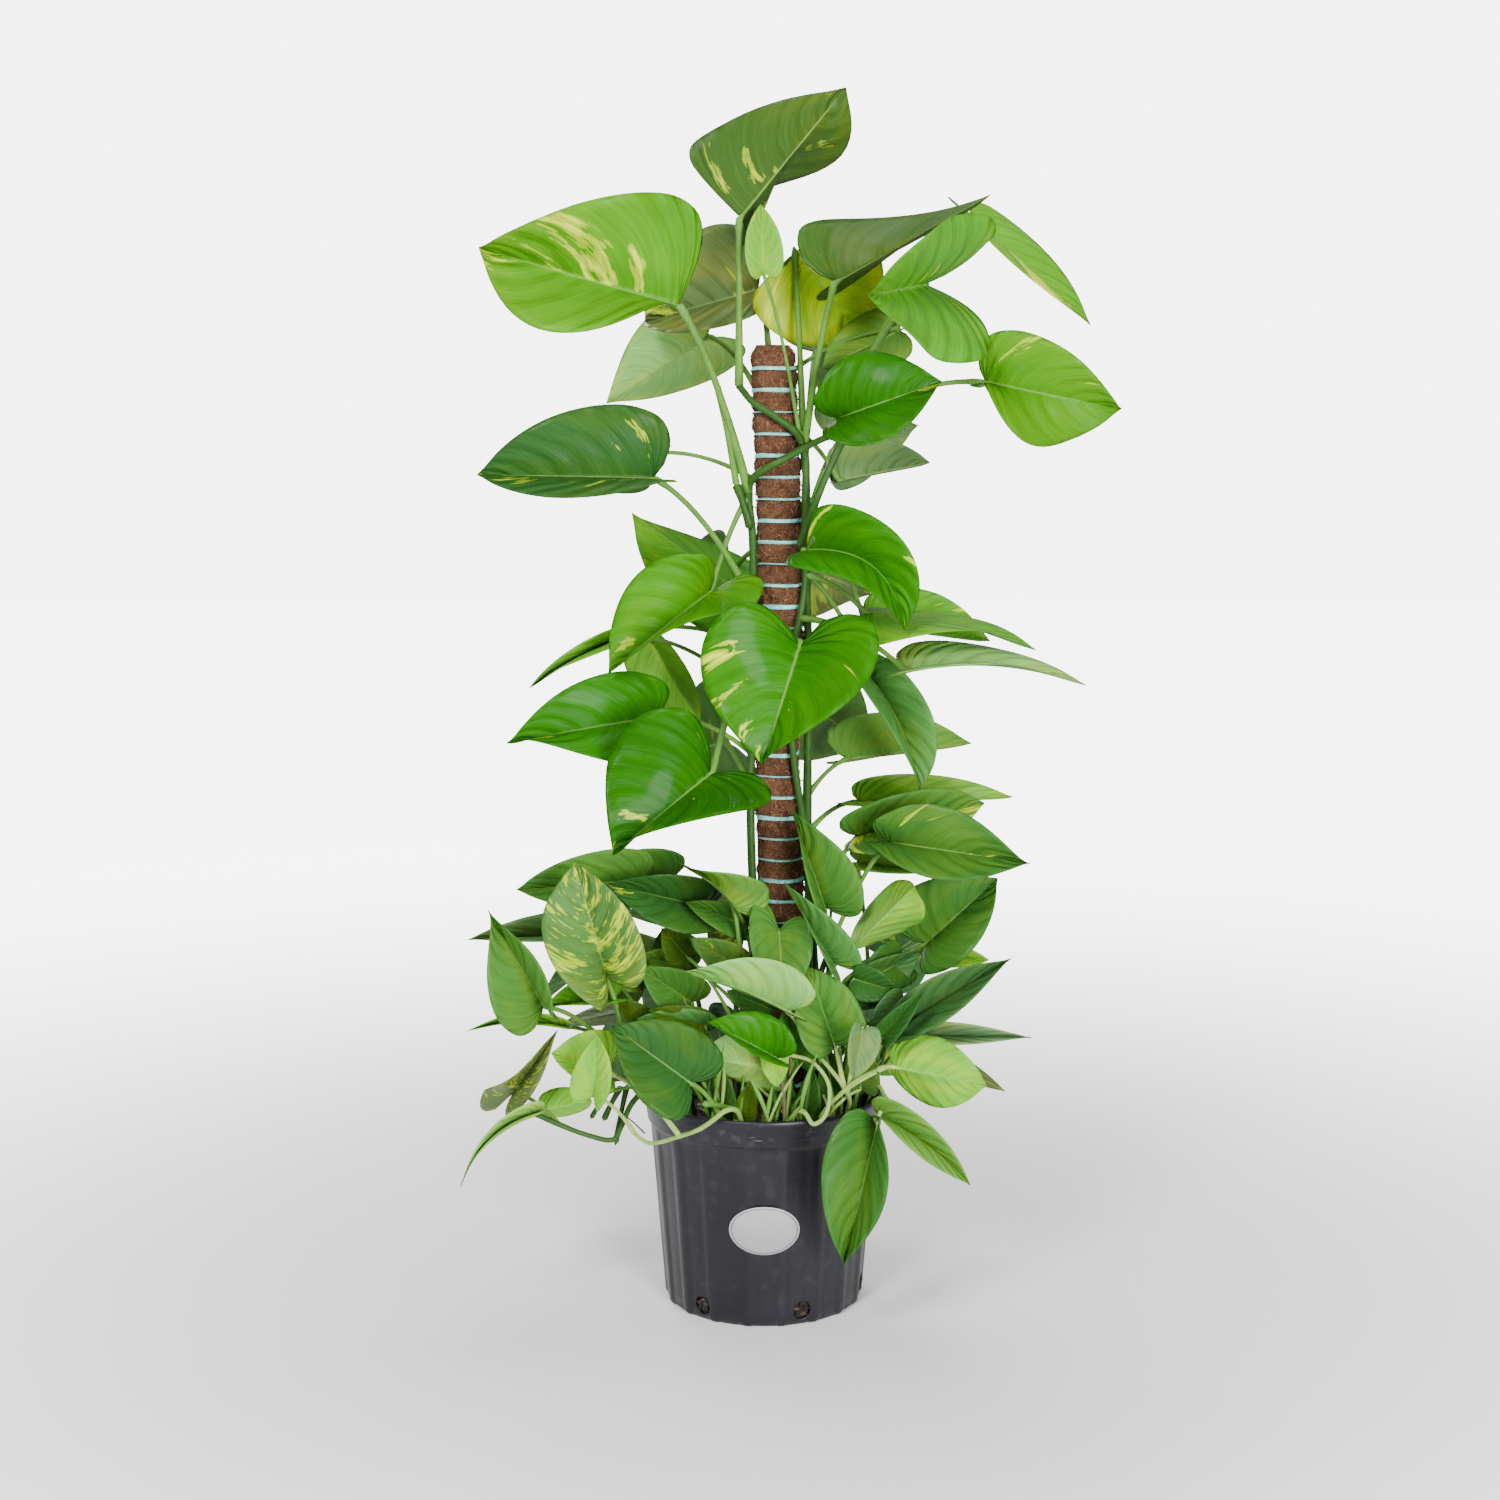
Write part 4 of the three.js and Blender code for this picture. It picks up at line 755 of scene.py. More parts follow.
def blade_point(row, seen, across, length):
    """The point of a bent blade: across half widths from the midrib, length lengths from the stalk."""
    face = -1 if row.under else 1
    toward = face * LEAF_BOW * seen.length if row.toward is None else row.toward
    share = max(0, length)
    bow = seen.right * row.side + seen.facing * toward
    point = seen.base + seen.along * (seen.length * share) + bow * (4 * share * (1 - share))
    tangent = (seen.along * seen.length + bow * (4 * (1 - 2 * share))).normalized()
    over = tangent.cross(seen.facing).normalized()
    up = over.cross(tangent)
    point = point + tangent * (seen.length * min(0, length))
    angles = row.left if across < 0 else row.right
    reach = abs(across) * row.width / 2
    curl = face * math.radians(LEAF_CURL) / (row.width / 2)
    start = math.radians(between(angles, length)) + face * math.radians(LEAF_CURL) / 2
    outward = (math.sin(start) - math.sin(start - curl * reach)) / curl
    forward = (math.cos(start - curl * reach) - math.cos(start)) / curl
    return point + over * math.copysign(outward, across) + up * forward


def blade_place(row, across, share):
    """Where a grid point of the blade lies: rows follow the side veins from the midrib to the edge."""
    half = 0 if across < 0 else 1
    edge = curve_point(HALF_OUTLINE, share)
    lobe_share = max(0, (LOBE_END - edge.y) / (LOBE_END - LOBE_TIP))
    edge_length = edge.y - row.lobes[half] * lobe_share ** 2
    vein_start = max(0, (edge.y - FIRST_VEIN) / (1 - FIRST_VEIN)) ** VEIN_CROWDING
    length = vein_start + (edge_length - vein_start) * abs(across)
    return edge.x * across * between(row.spread[half], edge.y), length


def streaks_at(row, across, share):
    """How streaked a blade is at a place: all over, and in its own bands along the side veins."""
    off = abs(across)
    along = share + VEIN_SWEEP * off * (1 - off) * (1 - share) - VEIN_LEAN * off * share
    amount = row.streaks
    for half, place, half_width, start, end, strength in row.bands:
        if half * across >= 0:
            ends = smooth_step(start - 0.08, start + 0.02, off) * smooth_step(end + 0.08, end - 0.02, off)
            amount += strength * ends * bell(along - place, half_width)
    return amount


def blade_sheet(bm, row, seed):
    """The middle sheet of a blade, and half its thickness at each of its points."""
    uv, tone_layer, traits = layers_of(bm)
    seen = leaf_frame(row)
    dice = random.Random(seed)
    columns, rows = (20, 36) if row.width > LARGE_BLADE_WIDTH else (14, 22)
    wave_count = dice.uniform(2.2, 3.4)
    wave_phase = dice.uniform(0, 6.28)
    grid = new_grid(bm, columns, rows)
    faces = {face for vert in grid for face in vert.link_faces}
    for face in faces:
        face.smooth = True
        for loop in face.loops:
            loop[uv].uv = ((loop.vert.co.x + 1) / 2, (loop.vert.co.y + 1) / 2)
    half_thickness = {}
    for vert in grid:
        across = math.copysign(abs(vert.co.x) ** 1.2, vert.co.x)
        share = (vert.co.y + 1) / 2
        edge_across, length = blade_place(row, across, share)
        point = blade_point(row, seen, edge_across, length)
        rim = abs(across) ** 1.9 * math.sin(math.pi * min(1, max(0.1, share)))
        phase = wave_phase + (0 if across < 0 else 1.9)
        wave = LEAF_WAVE * row.width * rim * math.sin(math.tau * wave_count * share + phase)
        vert.co = (point + seen.facing * wave) * MM
        vert[tone_layer] = (*TONES[row.tone], row.width / FULL_RELIEF_WIDTH)
        vert[traits] = (streaks_at(row, across, share), seed, 1 if row.under else 0)
        rib = bell(abs(edge_across) * row.width / 2, MIDRIB_HALF_WIDTH) * (1 - MIDRIB_TAPER * share)
        thin = 1 - EDGE_THINNING * smooth_step(0.86, 1, abs(across))
        half_thickness[vert] = (BLADE_THICKNESS * thin + (MIDRIB_THICKNESS - BLADE_THICKNESS) * rib) / 2
    join_doubles(bm, grid)
    return [face for face in faces if face.is_valid], half_thickness


def open_edges(faces):
    return list({edge for face in faces for edge in face.edges if edge.is_boundary})


def add_blade(bm, row, seed):
    """One leaf blade: a fine sheet, doubled and joined round its edge, thicker along the midrib."""
    front, half_thickness = blade_sheet(bm, row, seed)
    uv, tone_layer, traits = layers_of(bm)
    front_verts = [vert for vert in half_thickness if vert.is_valid]
    bm.normal_update()
    edges = open_edges(front)
    doubled = bmesh.ops.duplicate(bm, geom=front + front_verts)
    back = [item for item in doubled["geom"] if isinstance(item, bmesh.types.BMFace)]
    offsets = [vert.normal * half_thickness[vert] * MM for vert in front_verts]
    hidden_tone = HIDDEN_UPPER_SIDE if row.under else HIDDEN_UNDERSIDE
    for vert, offset in zip(front_verts, offsets):
        other = doubled["vert_map"][vert]
        other.co = vert.co - offset
        vert.co = vert.co + offset
        other[tone_layer] = (*hidden_tone, row.width / FULL_RELIEF_WIDTH)
        other[traits] = (vert[traits][0], seed, 0 if row.under else 1)
    bmesh.ops.reverse_faces(bm, faces=back)
    walls = set(bmesh.ops.bridge_loops(bm, edges=edges + open_edges(back))["faces"])
    for face in walls:
        face.smooth = True
        for loop in face.loops:
            other = [near for near in loop.vert.link_loops if near.face not in walls]
            loop[uv].uv = other[0][uv].uv if other else (0, 0.5)


# Stems, leaf stalks and roots


def pole_axis(height):
    """The bowed axis of the pole at a height."""
    low = 0
    high = 1
    while high - low > 1e-4:
        middle = (low + high) / 2
        if curve_point(POLE_BOW, middle).z < height:
            low = middle
        else:
            high = middle
    point = curve_point(POLE_BOW, low)
    point.z = height
    return point


def round_pole(place):
    """A place as an angle in degrees, a distance from the pole's axis and a height, as a point."""
    angle, distance, height = place
    return pole_axis(height) + ring_point(math.radians(angle), distance)


def stalk_tube(row, start, tone, seed):
    """A leaf stalk: sheathed where it leaves the stem, slim, and swollen where it meets the blade."""
    seen = leaf_frame(row)
    outwards = blade_point(row, seen, 0, -STALK_START / seen.length)
    rise = STALK_RISE * (start - outwards).length
    middle = start.lerp(outwards, 0.5) + Vector((0, 0, 2 * rise))
    thick = STALK_RADIUS * (0.6 + row.width / 150)
    points = [blade_point(row, seen, 0, STALK_REACH_UNDER_BLADE / seen.length)]
    radii = [0.45 * thick]
    for i in range(STALK_STEPS + 1):
        share = i / STALK_STEPS
        points.append(outwards * (1 - share) ** 2 + middle * (2 * share * (1 - share)) + start * share ** 2)
        knee = STALK_KNEE_SWELL * bell(share - 0.05, 0.05)
        sheath = STALK_SHEATH_SWELL * smooth_step(0.55, 1, share)
        radii.append(thick * (0.92 + knee + sheath))
    return tube(points, radii, tone, seed, seen.right)


def stem_tube(row, points, seed):
    """A stem from its socket in the soil to its tip, a little swollen at each leaf."""
    steps = STEM_STEPS * (len(points) - 1)
    path = curve_points(points, steps)
    foot = path[0] - Vector((0, 0, STEM_SOCKET_DEPTH))
    end = path[-1] + (path[-1] - path[-2]).normalized() * row.radius * 0.6
    radii = [row.radius]
    for i in range(steps + 1):
        share = i / steps
        swell = max(bell((share - leaf_row.at) * steps, 0.9) for leaf_row in row.leaves)
        radii.append(row.radius * (1 - STEM_TAPER * share) * (1 + STEM_NODE_SWELL * swell))
    tone = SHOOT_TONE if row.name in PALE_SHOOTS else STEM_TONE
    return tube([foot, *path, end], [*radii, 0], tone, seed)


def side_stem(row):
    """A bare piece of stem, stalk or root beside the leafy ones, with a light bow."""
    start, end, radius, kind = row
    start = placed(start)
    end = placed(end)
    bow = Vector((0, -0.04, 0.05)) * (end - start).length
    steps = SIDE_STEM_STEPS
    points = [start.lerp(end, i / steps) + bow * math.sin(math.pi * i / steps) for i in range(steps + 1)]
    radii = [radius * (1 + 0.12 * math.cos(math.tau * i / steps)) for i in range(1, steps)]
    return tube(points, [0, *radii, 0], SIDE_TONES[kind], radius)


def spear_tubes(row, points, dice):
    """Bare stalks and young leaves still rolled up, which rise from the soil round a stem."""
    steps = SPEAR_STEPS
    tubes = []
    for _ in range(row.spears):
        start = points[0] + Vector((dice.uniform(-18, 18), dice.uniform(-12, 24), -6))
        lean = Vector((dice.gauss(0, 0.2), dice.gauss(-0.05, 0.16), 1)).normalized()
        bend = Vector((dice.gauss(0, 16), dice.gauss(0, 10), 0))
        length = dice.uniform(50, 118)
        radius = dice.uniform(1.2, 2.1)
        tone = dice.choice((STALK_TONE, STALK_TONE, SHOOT_TONE, STEM_TONE, OLD_STALK_TONE))
        if math.hypot(start.x - pole_axis(start.z).x, start.y - POLE_DEPTH) < COIR_RADIUS + 6:
            continue
        path = [start + lean * (length * i / steps) + bend * (i / steps) ** 2 for i in range(steps + 1)]
        radii = [radius * (1.25 - 0.9 * i / steps + 0.6 * bell(i - 8, 2)) for i in range(steps)]
        tubes.append(tube(path, [*radii, 0], tone, length))
    return tubes


def root_tube(start, way, length, radius, dice):
    """A short aerial root that bends down as it grows."""
    points = [start]
    for _ in range(ROOT_BENDS):
        turn = Vector((dice.uniform(-0.3, 0.3), dice.uniform(-0.3, 0.3), dice.uniform(-0.35, 0.05)))
        way = (way + turn).normalized()
        points.append(points[-1] + way * length / ROOT_BENDS)
    steps = 2 * ROOT_BENDS
    radii = [radius * (1 - 0.85 * i / steps) for i in range(steps)]
    return tube(curve_points(points, steps), [*radii, 0], ROOT_TONE)


def root_tubes(points, dice):
    """Aerial roots along a vine, which grow towards the pole."""
    tubes = []
    for i in range(ROOTS_PER_VINE):
        start = curve_point(points, 0.08 + 0.86 * (i + dice.random()) / ROOTS_PER_VINE)
        inward = pole_axis(min(start.z, COIR_TOP - 5)) - start
        inward.z = 0
        way = inward.normalized() + Vector((dice.uniform(-0.9, 0.9), dice.uniform(-0.9, 0.9), 0.1))
        tubes.append(root_tube(start, way.normalized(), dice.uniform(8, 20), dice.uniform(0.5, 0.9), dice))
    return tubes


def make_plant(row, points, slot, materials, number):
    """A stem with its leaves, stalks, spears and roots as one piece. The number seeds its chances."""
    bm = bmesh.new()
    dice = random.Random(number)
    add_tubes(bm, [stem_tube(row, points, number)], sides=12, material=STEM_MATERIAL)
    stalk_tone = PALE_STALK_TONE if row.name in PALE_SHOOTS else STALK_TONE
    stalks = [side_stem(bare) for bare in row.side_stems]
    for i, leaf_row in enumerate(row.leaves):
        seed = number * 17.3 + i * 3.7
        add_blade(bm, leaf_row, seed)
        stalks.append(stalk_tube(leaf_row, curve_point(points, leaf_row.at), stalk_tone, seed))
    add_tubes(bm, stalks, sides=10, material=STEM_MATERIAL)
    spears = spear_tubes(row, points, dice)
    if spears:
        add_tubes(bm, spears, sides=8, material=STEM_MATERIAL)
    if row.name.startswith("vine"):
        add_tubes(bm, root_tubes(points, dice), sides=6, material=ROOT_MATERIAL)
    keep_piece(new_object(row.name + "_plant", bm), slot, row.name, *materials)


# Materials


class Field:
    """What one output of a node gives all over a surface. It adds and multiplies like a number."""

    def __init__(self, shader, socket):
        self.shader = shader
        self.socket = socket

    def __add__(self, other):
        return self.shader.maths("ADD", self, other)

    def __sub__(self, other):
        return self.shader.maths("SUBTRACT", self, other)

    def __rsub__(self, other):
        return self.shader.maths("SUBTRACT", other, self)

    def __mul__(self, other):
        return self.shader.maths("MULTIPLY", self, other)

    def __truediv__(self, other):
        return self.shader.maths("DIVIDE", self, other)

    def __abs__(self):
        return self.shader.maths("ABSOLUTE", self)


class Shader:
    """Short ways to place and join the nodes of one material, world or node group."""

    def __init__(self, tree):
        self.tree = tree

    def fill(self, node, values):
        """Sets inputs of a node to values, or joins fields to them."""
        for name, value in values.items():
            if isinstance(value, Field):
                self.tree.links.new(value.socket, node.inputs[name])
            else:
                node.inputs[name].default_value = value

    def node(self, kind, values, **settings):
        made = self.tree.nodes.new(kind)
        for name, value in settings.items():
            setattr(made, name, value)
        self.fill(made, values)
        return made

    def field(self, kind, values=None, output=0, **settings):
        return Field(self, self.node(kind, values or {}, **settings).outputs[output])

    def group(self, tree, values):
        """The outputs of a node group, by name."""
        made = self.node("ShaderNodeGroup", values, node_tree=tree)
        return {socket.name: Field(self, socket) for socket in made.outputs}

    def maths(self, operation, *values):
        return self.field("ShaderNodeMath", dict(enumerate(values)), operation=operation)

    def step(self, value, low, high, out_low=0.0, out_high=1.0):
        values = {"Value": value, "From Min": low, "From Max": high, "To Min": out_low, "To Max": out_high}
        return self.field("ShaderNodeMapRange", values, interpolation_type="SMOOTHSTEP")

    def mix(self, share, *colours, kind="MIX"):
        """A mix of two colours, each a field or an amount of red, green and blue."""
        first, second = [(*colour, 1) if isinstance(colour, tuple) else colour for colour in colours]
        values = {0: share, 6: first, 7: second}
        return self.field("ShaderNodeMix", values, 2, data_type="RGBA", blend_type=kind)

    def tinted(self, colour, tint):
        return self.mix(1.0, colour, tint, kind="MULTIPLY")

    def mottled(self, colour, scale, strength):
        values = {"Colour": colour, "Vector": self.object_place(), "Scale": scale, "Strength": strength}
        return self.group(MOTTLE, values)["Colour"]

    def noise(self, place, scale, detail=2.0, roughness=0.5, distortion=0.0):
        values = {"Vector": place, "Scale": scale, "Detail": detail, "Roughness": roughness}
        return self.field("ShaderNodeTexNoise", {**values, "Distortion": distortion})

    def strands(self, across, along, seed, detail=2.0):
        """Noise over places that follow the side veins of a blade."""
        place = self.field("ShaderNodeCombineXYZ", {"X": across, "Y": along, "Z": seed})
        return self.noise(place, 1.0, detail)

    def bump(self, height, distance, strength):
        return self.field("ShaderNodeBump", {"Height": height, "Distance": distance, "Strength": strength})

    def split(self, vector):
        parts = self.node("ShaderNodeSeparateXYZ", {"Vector": vector})
        return [Field(self, socket) for socket in parts.outputs]

    def object_place(self):
        return self.field("ShaderNodeTexCoord", output="Object")

    def stretched(self, place, *scale):
        return self.field("ShaderNodeMapping", {"Vector": place, "Scale": scale})

    def surface_map(self):
        return self.field("ShaderNodeUVMap", uv_map="surface")

    def attribute(self, name, output):
        settings = {"attribute_name": name, "attribute_type": "GEOMETRY"}
        return self.field("ShaderNodeAttribute", output=output, **settings)

    def seen_by_camera(self):
        return self.field("ShaderNodeLightPath", output="Is Camera Ray")


class Surface(Shader):
    """A new material and its shader, whose inputs are written with underscores for blanks."""

    def __init__(self, name, **values):
        self.material = bpy.data.materials.new(name)
        self.material.use_nodes = True
        super().__init__(self.material.node_tree)
        self.join(**values)

    def join(self, **values):
        """Sets or joins inputs of the shader, and gives the material back."""
        values = {name.replace("_", " "): value for name, value in values.items()}
        self.fill(self.tree.nodes["Principled BSDF"], values)
        return self.material


def new_group(name, inputs, outputs):
    """A new node group with named inputs and outputs, and its inputs as fields."""
    tree = bpy.data.node_groups.new(name, "ShaderNodeTree")
    for way, sockets in (("INPUT", inputs), ("OUTPUT", outputs)):
        for socket, kind in sockets.items():
            tree.interface.new_socket(socket, in_out=way, socket_type="NodeSocket" + kind)
    s = Shader(tree)
    given = s.node("NodeGroupInput", {})
    return s, [Field(s, given.outputs[socket]) for socket in inputs]


def vein_group():
    """Masks of a blade's midrib and side veins, and places that follow the side veins, from its own map."""
    names = ("Midrib", "Grooves", "Pleats", "Fine Veins", "Across", "Along")
    s, (own_map, seed) = new_group(
        "blade_veins", {"Map": "Vector", "Seed": "Float"}, dict.fromkeys(names, "Float"),
    )
    u, v, _ = s.split(own_map)
    off = abs(u - 0.5) * 2.0
    side = s.maths("GREATER_THAN", u, 0.5)
    along = v + off * (1.0 - off) * VEIN_SWEEP * (1.0 - v) - off * v * VEIN_LEAN
    rows = along * VEIN_COUNT + side * 0.45 + s.strands(off * 1.2, along * 5.0, seed) * 1.2
    from_vein = abs(s.maths("FRACT", rows) - 0.5)
    fold = s.strands(off * 0.9, along * 15.0, seed, 1.0)
    s.node("NodeGroupOutput", {
        "Midrib": s.step(off, 0.008, 0.045, 1.0, 0.0),
        "Grooves": s.step(from_vein, 0.0, 0.10, 1.0, 0.0),
        "Pleats": s.step(from_vein, 0.0, 0.45) * 0.55 + fold * 1.15,
        "Fine Veins": s.strands(off * 1.5, along * 150.0, seed),
        "Across": off,
        "Along": along,
    })
    return s.tree


def streak_group():
    """Where a blade has cream and yellow streaks: long along the side veins, thin across them."""
    names = ("Side", "Across", "Along", "Seed", "Amount")
    s, (side, across, along, seed, amount) = new_group(
        "blade_streaks", dict.fromkeys(names, "Float"), {"Streaks": "Float", "Cream": "Float"},
    )
    seed = seed + side * 13.7
    finer = s.step(amount, 0.5, 0.7)
    sector = s.strands(across * 0.9, along * 4.5, seed, 0.0) * s.step(finer, 0.0, 1.0, 0.75, 0.12)
    band = s.strands(across * 1.5, along * 24.0, seed + 31.0) * 0.55
    hair = s.strands(across * 4.6, along * 78.0, seed + 77.0, 3.0) * s.step(finer, 0.0, 1.0, 0.20, 0.60)
    threshold = 1.06 - s.maths("POWER", amount, 0.6) * 0.28 - finer * 0.135
    above = sector + band + hair - threshold
    s.node("NodeGroupOutput", {
        "Streaks": s.step(above, -0.012, 0.020) * s.step(amount, 0.0, 0.05),
        "Cream": s.step(above, 0.04, 0.17),
    })
    return s.tree


def mottle_group():
    """Slow light and dark patches over a surface."""
    s, (colour, place, scale, strength) = new_group(
        "slow_mottle", {"Colour": "Color", "Vector": "Vector", "Scale": "Float", "Strength": "Float"},
        {"Colour": "Color"},
    )
    shade = (s.noise(place, scale, 3.0) - 0.5) * strength + 1.0
    s.node("NodeGroupOutput", {
        "Colour": s.field("ShaderNodeVectorMath", {0: colour, "Scale": shade}, operation="SCALE"),
    })
    return s.tree


VEINS = vein_group()
STREAKS = streak_group()
MOTTLE = mottle_group()


def leaf_material():
    """A waxy blade: pleated between its side veins, with painted shade in the pleats' hollows and cream
    streaks that follow the veins.
    """
    s = Surface(
        "waxy_leaf", Subsurface_Weight=0.10, Subsurface_Scale=0.0014, Subsurface_Radius=(0.5, 1.0, 0.1),
        Coat_Weight=0.05, Coat_Roughness=0.13, Specular_IOR_Level=0.06,
    )
    own_map = s.surface_map()
    amount, seed, underside = s.split(s.attribute("traits", "Vector"))
    veins = s.group(VEINS, {"Map": own_map, "Seed": seed})
    across = veins["Across"]
    along = veins["Along"]
    side = s.maths("GREATER_THAN", s.split(own_map)[0], 0.5)
    places = {"Side": side, "Across": across, "Along": along}
    streaks = s.group(STREAKS, {**places, "Seed": seed, "Amount": amount})

    def by_side(upper, under):
        return s.step(underside, 0.0, 1.0, upper, under)

    colour = s.mottled(s.attribute("tone", "Color"), 16.0, 0.55)
    blush = s.strands(across * 1.6, along * 3.0, seed)
    colour = s.mix(s.step(blush, 0.42, 0.68, 0.0, 0.75), colour, s.tinted(colour, (1.75, 1.18, 0.7)))
    deeper = s.tinted(colour, (0.62, 0.74, 0.62))
    colour = s.mix(s.step(veins["Fine Veins"], 0.35, 0.7, 0.0, 0.6), colour, deeper)
    # Painted shade along the hollows of the pleats, darker towards the side veins
    colour = s.mix(s.step(veins["Pleats"], 0.75, 1.35, 0.35, 0.0), colour, deeper)
    vein_share = by_side(0.38, 0.60) * s.step(across, 0.15, 0.95, 1.0, 0.25)
    colour = s.mix(veins["Grooves"] * vein_share, colour, s.tinted(colour, (1.45, 1.30, 1.6)))
    cream = s.mix(streaks["Cream"], (0.36, 0.50, 0.012), (0.74, 0.82, 0.035))
    colour = s.mix(streaks["Streaks"] * by_side(0.94, 0.6), colour, cream)
    colour = s.mix(s.step(across, 0.965, 0.995, 0.0, 0.5), colour, deeper)
    colour = s.mix(veins["Midrib"] * by_side(0.62, 0.8), colour, (0.20, 0.36, 0.075))
    cloud = s.noise(s.object_place(), 60.0, 4.0)
    relief = (veins["Pleats"] + veins["Fine Veins"] * 0.24 + cloud * 0.22) * by_side(1.0, -0.8)
    relief = relief * s.attribute("tone", "Alpha")
    return s.join(
        Base_Color=colour, Roughness=by_side(0.27, 0.50) + cloud * 0.16, Normal=s.bump(relief, 0.0034, 1.0),
    )


def stem_material():
    s = Surface("green_stem", Subsurface_Weight=0.1, Subsurface_Scale=0.001, Specular_IOR_Level=0.18)
    place = s.object_place()
    lines = s.noise(s.stretched(place, 1.0, 1.0, 0.16), 900.0, 3.0)
    colour = s.mottled(s.attribute("tone", "Color"), 38.0, 0.9)
    colour = s.mix(s.step(lines, 0.45, 0.75, 0.0, 0.7), colour, s.tinted(colour, (1.7, 1.45, 1.8)))
    scars = s.step(s.noise(place, 130.0, 4.0), 0.66, 0.72, 0.0, 0.5)
    colour = s.mix(scars, colour, (0.12, 0.085, 0.035))
    return s.join(
        Base_Color=colour, Roughness=s.step(lines, 0.2, 0.8, 0.36, 0.55), Normal=s.bump(lines, 0.0004, 0.6),
    )


def root_material():
    s = Surface("aerial_root", Roughness=0.85)
    cloud = s.noise(s.object_place(), 420.0, 4.0)
    colour = s.mix(s.step(cloud, 0.3, 0.75), (0.035, 0.020, 0.012), (0.16, 0.10, 0.055))
    return s.join(Base_Color=colour, Normal=s.bump(cloud, 0.0004, 0.8))


def pot_material():
    """Black moulded plastic, scuffed on the wall, dusty at the rim and rubbed round the collar."""
    s = Surface("moulded_pot", Specular_IOR_Level=0.3)
    place = s.object_place()
    height = s.split(place)[2]
    collar_foot = (COLLAR_FOOT - 1) * MM
    slow = s.noise(place, 9.0, 4.0)
    fine = s.noise(place, 420.0, 3.0)
    upright = s.noise(s.stretched(place, 1.0, 1.0, 0.08), 160.0, 5.0)
    level = s.noise(s.stretched(place, 0.12, 0.12, 1.0), 520.0, 4.0)
    scuffs = s.step(upright, 0.60, 0.75) * s.step(slow, 0.48, 0.7)
    dust = s.step(s.noise(place, 75.0, 5.0), 0.56, 0.70) * s.step(height, collar_foot, 0.2, 0.25, 1.0)
    rubbed = s.step(level, 0.60, 0.72) * s.step(s.noise(place, 24.0), 0.52, 0.62)
    rubbed = rubbed * s.step(height, collar_foot, 0.190, 0.0, 0.5)
    wear = s.maths("MAXIMUM", s.maths("MAXIMUM", scuffs, dust * 0.7) * 0.16, rubbed)
    colour = s.mix(s.step(slow, 0.3, 0.75), (0.0070, 0.0066, 0.0098), (0.0125, 0.0120, 0.0170))
    return s.join(
        Base_Color=s.mix(wear, colour, (0.20, 0.20, 0.21)),
        Roughness=s.step(slow, 0.2, 0.8, 0.31, 0.44) + wear * 0.5,
        Normal=s.bump(fine * 0.5 + slow * 2.0, 0.0004, 0.5),
    )


def soil_material():
    s = Surface("potting_mix", Roughness=0.95)
    coarse = s.noise(s.object_place(), 160.0, 5.0, 0.65)
    fine = s.noise(s.object_place(), 700.0, 3.0, 0.6)
    colour = s.mix(s.step(coarse, 0.3, 0.7), (0.014, 0.009, 0.006), (0.075, 0.048, 0.030))
    colour = s.mix(s.step(fine, 0.58, 0.72, 0.0, 0.6), colour, (0.16, 0.11, 0.07))
    return s.join(Base_Color=colour, Normal=s.bump(coarse * 2.0 + fine, 0.002, 0.9))


def crumb_material():
    s = Surface("bark_and_perlite", Roughness=0.9)
    colour = s.mottled(s.attribute("tone", "Color"), 300.0, 1.2)
    return s.join(Base_Color=colour, Normal=s.bump(s.noise(s.object_place(), 600.0, 4.0), 0.0008, 0.8))


def coir_material():
    """Two layers of curled fibres over hollows, which are darkened with painted shade."""
    s = Surface("coir_fibre", Roughness=0.9, Specular_IOR_Level=0.2)
    curls = s.noise(s.object_place(), 260.0, 3.0, 0.55, 2.2)
    finer_curls = s.noise(s.object_place(), 430.0, 3.0, 0.6, 3.0)
    ridges = s.step(abs(curls - 0.5), 0.0, 0.09, 1.0, 0.0)
    finer_ridges = s.step(abs(finer_curls - 0.5), 0.0, 0.07, 1.0, 0.0)
    fibres = s.maths("MAXIMUM", ridges, finer_ridges * 0.8)
    colour = s.mottled(s.attribute("tone", "Color"), 60.0, 0.9)
    # Painted shade: the hollows between the fibres are darkened and the fibres lightened
    colour = s.mix(fibres, s.tinted(colour, (0.28, 0.24, 0.24)), s.tinted(colour, (1.5, 1.45, 1.4)))
    return s.join(Base_Color=colour, Normal=s.bump(fibres, 0.0012, 0.9))


def twine_material():
    """Pale blue-green yarn of three plies, with painted shade in the grooves of the plies."""
    s = Surface("twine_yarn", Roughness=0.6, Sheen_Weight=0.15, Sheen_Roughness=0.4)
    u, v, _ = s.split(s.surface_map())
    ply = abs(s.maths("FRACT", u * 3.0 + v * 1400.0) - 0.5)
    cloud = s.noise(s.object_place(), 210.0, 3.0)
    colour = s.mix(s.step(cloud, 0.3, 0.7), (0.130, 0.56, 0.52), (0.30, 0.86, 0.80))
    # Painted shade in the grooves of the plies
    colour = s.mix(s.step(ply, 0.0, 0.2, 0.35, 0.0), colour, (0.10, 0.26, 0.25))
    return s.join(Base_Color=colour, Normal=s.bump(ply, 0.0006, 0.8))


